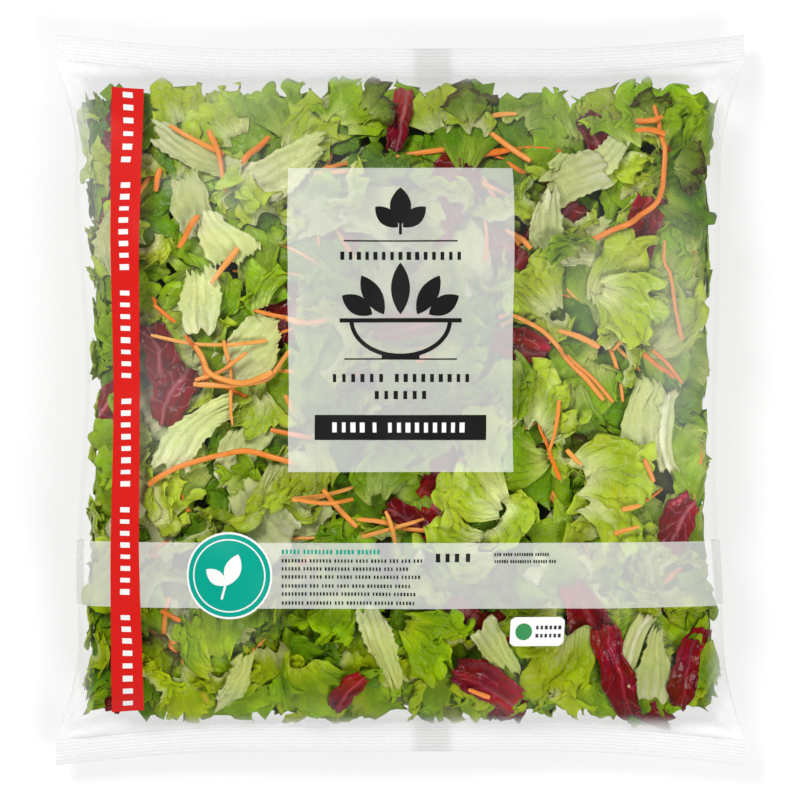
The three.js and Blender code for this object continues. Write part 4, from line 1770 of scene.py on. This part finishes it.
seal_sizes = {"Ribs": float(RIBS), "Rib height": RIB_HEIGHT * MM, "Margin": RIB_MARGIN}
film = applied(film_source(), crimp_tree(), {**seal_sizes, "Material": clear_film}, "film_bag")
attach(film, "root")
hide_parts("salad_bag")
print("film_bag", len(film.data.polygons), "faces")

# %% [markdown]
# ## Printed front
#
# The bag is printed with flat inks: a red stripe, a milky panel, a milky band, a teal disc
# and small marks. A picture laid on the film would blur when seen from near, so each shape
# is a thin mesh. Printing is flat, so it is drawn flat in the skin map, where u and v are
# millimetres on the film, and is then wrapped onto the film a hair above it.

# %% Ink material
GRAIN = 0.9


def ink_material(name, code, cover=1.0, roughness=0.35):
    """Printed ink with a fine grain, which hides this share of what lies under it"""
    made, node = new_material(name)
    place = node("ShaderNodeTexCoord", out="Object")
    grain = node("ShaderNodeTexNoise", {"Vector": place, "Scale": per_metre(GRAIN), "Detail": 2.0})
    shade = node("ShaderNodeMapRange", {"Value": grain, "To Min": 0.96, "To Max": 1.04})
    colour = node("ShaderNodeHueSaturation", {"Value": shade, "Color": linear(code)})
    surface = node("ShaderNodeBsdfPrincipled", {
        "Base Color": colour, "Roughness": roughness, "Specular IOR Level": 0.12
    })
    if cover < 1:
        clear = node("ShaderNodeBsdfTransparent")
        surface = node("ShaderNodeMixShader", {0: cover, 1: clear, 2: surface})
    node("ShaderNodeOutputMaterial", {"Surface": surface})
    return made


# Flexographic inks, rolled on thin from a soft plate: full, even colour with a satin surface.
# The milky one is a white tint laid on thin, so the leaves show through it, paler and matt.
INKS = {
    "red_ink": ink_material("red_flexo_ink", "#CA1A16"),
    "veil_ink": ink_material("milky_white_ink", "#F0F0EE", 0.455, 0.5),
    "white_ink": ink_material("white_flexo_ink", "#E3E3E1"),
    "black_ink": ink_material("black_flexo_ink", "#171717"),
    "teal_ink": ink_material("teal_flexo_ink", "#009783"),
    "green_ink": ink_material("green_flexo_ink", "#1A7E3E"),
}
print("inks:", len(INKS))

# %% Wrap flat shapes onto the film
PROBE = 0.8


def wrapped(u, v, lift):
    """Points a little above the film at u, v"""
    du = on_map(SKIN, u + PROBE, v) - on_map(SKIN, u - PROBE, v)
    dv = on_map(SKIN, u, v + PROBE) - on_map(SKIN, u, v - PROBE)
    normal = np.cross(du, dv)
    normal /= np.linalg.norm(normal, axis=-1, keepdims=True)
    return on_map(SKIN, u, v) + normal * lift


def printed(name, shapes, lift, ink):
    """One piece from flat shapes, each an array of points (u, v) and an array of triangles"""
    raised = [(wrapped(flat[:, 0], flat[:, 1], lift), triangles) for flat, triangles in shapes]
    ride_root(mesh_piece(name, *joined(raised), INKS[ink]))


print("slope is probed over, mm:", 2 * PROBE)

# %% Flat fields and discs
FIELD_STEP = 2.2


def field_between(left, right, top, bottom, step=FIELD_STEP, corner=0.0):
    """A filled field; left and right are each a u, or the pair of arrays (v, u) of an edge"""
    rows = max(3, int((top - bottom) / step) + 1)
    v = np.linspace(bottom, top, rows)
    low = np.interp(v, *left) if isinstance(left, tuple) else np.full(rows, left)
    high = np.interp(v, *right) if isinstance(right, tuple) else np.full(rows, right)
    if corner:
        inward = np.maximum(0, corner - np.minimum(v - bottom, top - v))
        round_in = corner - np.sqrt(np.maximum(0, corner**2 - inward**2))
        low = low + round_in
        high = high - round_in
    columns = max(3, int((high - low).max() / step) + 1)
    t = np.linspace(0, 1, columns)[None, :]
    u = low[:, None] * (1 - t) + high[:, None] * t
    points = np.stack([u.ravel(), np.repeat(v, columns)], axis=1)
    return points, halved(grid_faces(rows, columns))


def disc(u, v, outer, inner=0.0, corners=48):
    """A disc, or a ring if it has an inner radius"""
    rings = max(2, int((outer - inner) / FIELD_STEP) + 1)
    radius = np.linspace(max(inner, 0.05), outer, rings)[:, None]
    angle = (np.arange(corners) * 2 * np.pi / corners)[None, :]
    at_u = u + radius * np.cos(angle)
    at_v = v + radius * np.sin(angle)
    quads = grid_faces(rings, corners, closed=True)[:, ::-1]
    return np.stack([at_u.ravel(), at_v.ravel()], axis=1), halved(quads)


print("triangles in a disc:", len(disc(0, 0, 10)[1]))

# %% Lines and plain leaves
LEAF_STEPS = 13
STROKE_STEP = 1.5


def stroke(path, width):
    """A line of this width along a path of points (u, v)"""
    path = np.asarray(path, float)
    length = np.concatenate([[0], np.cumsum(np.linalg.norm(np.diff(path, axis=0), axis=1))])
    at = np.linspace(0, length[-1], max(3, int(length[-1] / STROKE_STEP) + 1))
    line = np.stack([np.interp(at, length, path[:, 0]), np.interp(at, length, path[:, 1])], axis=1)
    along = np.gradient(line, axis=0)
    along /= np.linalg.norm(along, axis=1, keepdims=True)
    side = np.stack([-along[:, 1], along[:, 0]], axis=1) * width / 2
    points = np.stack([line + side, line - side], axis=1).reshape(-1, 2)
    return points, halved(grid_faces(len(line), 2)[:, ::-1])


def leaf_shape(u, v, length, width, heading):
    """A plain pointed leaf"""
    turn = math.radians(heading)
    t = np.linspace(0, 1, LEAF_STEPS)
    half = width / 2 * np.sin(np.pi * t) ** 0.8
    lines = []
    for k in (-1, 0, 1):
        a = k * half
        b = t * length
        at_u = u + a * math.cos(turn) - b * math.sin(turn)
        at_v = v + a * math.sin(turn) + b * math.cos(turn)
        lines.append(np.stack([at_u, at_v], axis=1))
    return np.stack(lines, axis=1).reshape(-1, 2), halved(grid_faces(LEAF_STEPS, 3))


print("triangles in a plain leaf:", len(leaf_shape(0, 0, 10, 5, 0)[1]))

# %% The milky panel and band
PANEL_MIDDLE = 320
PANEL_LEFT = photo_u(288, PANEL_MIDDLE)
PANEL_RIGHT = photo_u(513, PANEL_MIDDLE)
PANEL_TOP = photo_v(MIDDLE_PIXEL, 168)
PANEL_BOTTOM = photo_v(MIDDLE_PIXEL, 472)
BAND_TOP = photo_v(MIDDLE_PIXEL, 543)
BAND_BOTTOM = photo_v(MIDDLE_PIXEL, 609)
BAND_END = 160
# How far each layer of ink stands off the film, in millimetres
PANEL_LIFT = 0.12
BAND_LIFT = 0.10
panel = field_between(PANEL_LEFT, PANEL_RIGHT, PANEL_TOP, PANEL_BOTTOM)
printed("milky_panel", [panel], PANEL_LIFT, "veil_ink")
band = field_between(-BAND_END, BAND_END, BAND_TOP, BAND_BOTTOM)
printed("milky_band", [band], BAND_LIFT, "veil_ink")

# %% The red stripe
STRIPE_LIFT = 0.17
# Its edges in pixels: height in the photograph, left edge, right edge
STRIPE_EDGES = np.array([
    (87, 111.5, 144), (243, 110.5, 139), (400, 114.0, 140), (556, 110.5, 139), (712, 111.5, 144),
])
stripe_y = np.linspace(712, 87, 36)
edge_y, left_x, right_x = STRIPE_EDGES.T
stripe_left, stripe_v = on_film(np.interp(stripe_y, edge_y, left_x), stripe_y)
stripe_right, _ = on_film(np.interp(stripe_y, edge_y, right_x), stripe_y)
stripe = field_between(
    (stripe_v, stripe_left), (stripe_v, stripe_right), stripe_v[-1], stripe_v[0]
)
printed("red_stripe", [stripe], STRIPE_LIFT, "red_ink")

# %% [markdown]
# The front's finest marks are rows of small plain bars. A bar repeats along a line, which
# is what a Geometry Nodes tree does well: it puts bars of uneven length along each guide
# line, from a fixed seed. They are still flat there, and are wrapped when the tree is done.

# %% A tree for rows of bars
def bar_tree():
    tree, node, inputs = new_tree("rows_of_bars", {
        "Pitch": 4.0, "Bar length": 3.0, "Bar height": 1.0, "Unevenness": 0.4, "Seed": 1,
        "Material": None,
    })
    line = node("GeometryNodeMeshToCurve", {"Mesh": inputs["Geometry"]})
    spots = node(
        "GeometryNodeCurveToPoints", {"Curve": line, "Length": inputs["Pitch"]}, mode="LENGTH"
    ).node.outputs
    flat_bar = node("GeometryNodeMeshGrid", {
        "Size X": inputs["Bar length"], "Size Y": inputs["Bar height"], "Vertices X": 4,
        "Vertices Y": 2,
    })
    least = node("ShaderNodeMath", {0: 1.0, 1: inputs["Unevenness"]}, operation="SUBTRACT")
    chance = node(
        "FunctionNodeRandomValue", {2: least, 3: 1.0, 8: inputs["Seed"]}, 1, data_type="FLOAT"
    )
    size = node("ShaderNodeCombineXYZ", {"X": chance, "Y": 1.0, "Z": 1.0})
    heading = node("FunctionNodeAlignRotationToVector", {"Vector": spots["Tangent"]}, axis="X")
    bars = node("GeometryNodeInstanceOnPoints", {
        "Points": spots["Points"], "Instance": flat_bar, "Rotation": heading, "Scale": size
    })
    close_tree(node, bars, inputs["Material"])
    return tree


BAR_TREE = bar_tree()
BAR_UNEVENNESS = 0.3
print("geometry trees:", len(bpy.data.node_groups))


# %% Rows of bars
def bars(name, lines, pitch, length, height, seed, lift, ink):
    """Rows of bars along guide lines, each two points (u, v), wrapped onto the film"""
    guides = bpy.data.meshes.new(name + "_guides")
    ends = [(u, v, 0) for line in lines for u, v in line]
    guides.from_pydata(ends, [(k, k + 1) for k in range(0, len(ends), 2)], [])
    values = {"Pitch": pitch, "Bar length": length, "Bar height": height,
              "Unevenness": BAR_UNEVENNESS, "Seed": seed, "Material": INKS[ink]}
    made = applied(new_object(name + "_guides", guides), BAR_TREE, values, name)
    flat = np.zeros(len(made.data.vertices) * 3)
    made.data.vertices.foreach_get("co", flat)
    u, v, _ = flat.reshape(-1, 3).T
    made.data.vertices.foreach_set("co", (wrapped(u, v, lift) * MM).ravel())
    made.data.update()
    ride_root(made)


def grouped(seed, left, right, v, pitch, least=3, most=9, space=1.7):
    """Guide lines along a row, each for a few bars, with spaces between the groups"""
    group_draw = np.random.default_rng(seed)
    at = left + pitch / 2
    lines = []
    while at < right - least * pitch:
        count = min(int(group_draw.integers(least, most + 1)), int((right - at) / pitch))
        lines.append(((at, v), (at + (count - 0.9) * pitch, v)))
        at += (count - 1 + space) * pitch
    return lines


print("groups in a row of 60 mm:", len(grouped(0, 0, 60, 0, 1.4)))

# %% [markdown]
# ## Marks on the front
#
# Each mark keeps the place, size and colour of a printed one, and says nothing.

# %% Drawn marks on the panel
CENTRE = (PANEL_LEFT + PANEL_RIGHT) / 2
HAIRLINE = 0.6
BOWL_LINE = 1.8
BOWL_HALF = 21
BOWL_DEEP = 15
INK_LIFT = 0.2


def panel_v(py):
    return photo_v(MIDDLE_PIXEL, py)


def level(v, half, width):
    """A level line, half this long to either side of the panel's middle"""
    return stroke([(CENTRE - half, v), (CENTRE + half, v)], width)


sprig_v = panel_v(232)
bowl_v = panel_v(325)
bowl = [(CENTRE + BOWL_HALF * np.cos(t), bowl_v + BOWL_DEEP * np.sin(t) + 2)
        for t in np.linspace(np.pi, 2 * np.pi, 25)]
panel_shapes = [
    leaf_shape(CENTRE, sprig_v + 3, 16, 9, 0),
    leaf_shape(CENTRE - 1, sprig_v + 2, 13, 7, 48),
    leaf_shape(CENTRE + 1, sprig_v + 2, 13, 7, -48),
    stroke([(CENTRE, sprig_v - 1), (CENTRE, sprig_v + 4)], 1.2),
    level(panel_v(241), 24, HAIRLINE),
    level(panel_v(359), 24, HAIRLINE),
    field_between(CENTRE - 36.5, CENTRE + 36.5, panel_v(415), panel_v(440)),
    stroke(bowl, BOWL_LINE),
    level(bowl_v + 2, 26, BOWL_LINE),
    level(bowl_v - 13.5, 8, BOWL_LINE),
]
for heading, reach, shift in ((-58, 15, 12), (-30, 19, 7), (0, 22, 0), (30, 19, -7), (58, 15, -12)):
    panel_shapes.append(leaf_shape(CENTRE + shift, bowl_v + 4.5, reach, 8, heading))
printed("panel_marks", panel_shapes, INK_LIFT, "black_ink")


# %% Bars on the panel
OVER_BLACK_LIFT = 0.26


def centred(px_left, px_right, py, pitch, count):
    """A guide line for this many bars, centred between two pixels of a row of the panel"""
    middle = CENTRE + ((px_left + px_right) / 2 - MIDDLE_PIXEL) * PIXEL
    half = (count - 0.9) * pitch / 2
    return ((middle - half, panel_v(py)), (middle + half, panel_v(py)))


small_rows = [
    centred(338, 462, 256, 3.5, 15), centred(330, 386, 378, 3.3, 7),
    centred(392, 470, 378, 3.3, 10), centred(372, 428, 395, 3.3, 7),
]
bars("panel_dashes", small_rows, 3.4, 1.9, 3.4, 4, INK_LIFT, "black_ink")
white_rows = [
    centred(332, 366, 427.5, 3.8, 4), centred(372, 378, 427.5, 3.8, 1),
    centred(386, 464, 427.5, 3.8, 9),
]
bars("black_bar_dashes", white_rows, 3.8, 2.2, 4.2, 9, OVER_BLACK_LIFT, "white_ink")

# %% Bars on the red stripe
STRIPE_PITCH = 4.95
STRIPE_REPEAT = 46.2
BARS_IN_A_GROUP = 7.1
OVER_STRIPE_LIFT = 0.24


def stripe_point(v):
    return (np.interp(v, stripe_v, (np.array(stripe_left) + stripe_right) / 2), v)


stripe_rows = []
for first in stripe_v[0] + 3.5 + STRIPE_REPEAT * np.arange(6):
    last = min(first + BARS_IN_A_GROUP * STRIPE_PITCH, stripe_v[-1] - 3)
    stripe_rows.append((stripe_point(first), stripe_point(last)))
bars("stripe_dashes", stripe_rows, STRIPE_PITCH, 2.5, 4.6, 2, OVER_STRIPE_LIFT, "white_ink")

# %% The disc on the band
OVER_DISC_LIFT = 0.27
disc_u = photo_u(228.5, 576)
disc_v = photo_v(228.5, 576)
printed("teal_disc", [disc(disc_u, disc_v, 17.6)], INK_LIFT, "teal_ink")
ring_shapes = [
    disc(disc_u, disc_v, 18.5, 17.6),
    disc(disc_u, disc_v, 15.6, 15.0),
    leaf_shape(disc_u - 0.6, disc_v - 4, 14, 7, -20),
    leaf_shape(disc_u - 1, disc_v - 4, 11, 6, 52),
    stroke([(disc_u - 3, disc_v - 10), (disc_u - 1, disc_v - 3)], 1.0),
]
printed("disc_marks", ring_shapes, OVER_DISC_LIFT, "white_ink")

# %% Bars on the band
# Each row's height in pixels, and how much sooner it ends
BAND_ROWS = ((561, 0), (569, 3), (577, 1), (586, 5), (594, 2), (603, 0))
rows_left = photo_u(281, 576)
rows_right = photo_u(425, 576)
band_rows = []
for n, (py, sooner) in enumerate(BAND_ROWS):
    band_rows += grouped(n, rows_left, rows_right - sooner, photo_v(350, py), 1.36)
bars("band_dashes", band_rows, 1.36, 0.8, 1.45, 5, INK_LIFT, "black_ink")
teal_row = grouped(21, rows_left, photo_u(384, 552), photo_v(330, 552), 1.6)
bars("band_dashes_teal", teal_row, 1.6, 1.05, 1.9, 6, INK_LIFT, "teal_ink")
right_rows = []
for n, py in enumerate((554.5, 561.5)):
    right_rows += grouped(30 + n, photo_u(494, py), photo_u(558, py), photo_v(520, py), 1.0)
bars("band_dashes_small", right_rows, 1.0, 0.7, 1.3, 8, INK_LIFT, "black_ink")
middle_v = photo_v(450, 558)
middle_row = [
    ((photo_u(left, 558), middle_v), (photo_u(right, 558), middle_v))
    for left, right in ((438, 457), (468, 469))
]
bars("band_dashes_weight", middle_row, 3.4, 1.9, 3.6, 3, INK_LIFT, "black_ink")

# %% The small white tag
TAG_LIFT = 0.12
TAG_MIDDLE = 537
tag_left = photo_u(510, 632)
tag_right = photo_u(564, 632)
tag_top = photo_v(TAG_MIDDLE, 617)
tag_bottom = photo_v(TAG_MIDDLE, 646)
tag = field_between(tag_left, tag_right, tag_top, tag_bottom, step=1.2, corner=2.0)
printed("white_tag", [tag], TAG_LIFT, "white_ink")
dot = disc((tag_left * 3 + tag_right) / 4, (tag_top + tag_bottom) / 2, 3.6, corners=32)
printed("tag_dot", [dot], INK_LIFT, "green_ink")
tag_rows = [
    ((tag_left * 0.5 + tag_right * 0.5, v), (tag_right - 2, v)) for v in (tag_top - 4.5, tag_top - 8)
]
bars("tag_dashes", tag_rows, 1.8, 1.3, 1.6, 8, INK_LIFT, "black_ink")

# %% [markdown]
# ## Floor and light
#
# The bag was photographed on a white table that is lit from below as well, which is why
# only its pale outline shows on it. A floor with a soft glow of its own does that. A white
# surround gives soft light from all sides, which keeps the gaps between the leaves dark and
# the film clear, and two large soft lamps add the glints.

# %% Floor
FLOOR_HALF = 2500.0
FLOOR_BELOW = 0.4


def floor_material():
    """Matt white acrylic, lit from within: it hides the bag's shadow and keeps its outline"""
    made, node = new_material("matt_white_floor")
    place = node("ShaderNodeTexCoord", out="Object")
    mottle = node("ShaderNodeTexNoise", {"Vector": place, "Scale": 2.0})
    colour = node(
        "ShaderNodeMix", {0: mottle, 6: linear("#989898"), 7: linear("#9A9A9A")}, **COLOUR
    )
    surface = node("ShaderNodeBsdfPrincipled", {
        "Base Color": colour, "Roughness": 0.9, "Specular IOR Level": 0.0,
        "Emission Color": linear("#FFFFFF"), "Emission Strength": 0.62,
    })
    node("ShaderNodeOutputMaterial", {"Surface": surface})
    return made


corners = np.array([[-1, -1], [1, -1], [1, 1], [-1, 1]]) * FLOOR_HALF
floor_points = np.concatenate([corners, np.full((4, 1), -FLOOR_BELOW)], axis=1)
floor = mesh_piece("floor", floor_points, np.array([[0, 1, 2, 3]]), floor_material())
print("floor, metres across:", 2 * FLOOR_HALF * MM)


# %% Lamps and surround
def lamp(name, place, size, power):
    """A square soft lamp, in millimetres and watts, that looks at the bag"""
    data = bpy.data.lights.new(name, "AREA")
    data.shape = "SQUARE"
    data.size = size * MM
    data.energy = power
    made = new_object(name, data)
    made.location = [v * MM for v in place]
    made.rotation_euler = (-made.location).to_track_quat("-Z", "Y").to_euler()


lamp("key_lamp", (-750, 850, 1350), 550, 21)
lamp("fill_lamp", (750, -950, 1250), 700, 18)
world = bpy.data.worlds.new("soft_white_room")
world.use_nodes = True
background = world.node_tree.nodes["Background"].inputs
background["Color"].default_value = linear("#FFFFFF")
background["Strength"].default_value = 0.38
bpy.context.scene.world = world
bpy.context.scene.view_settings.view_transform = "Standard"
print("lamps:", len(bpy.data.lights))
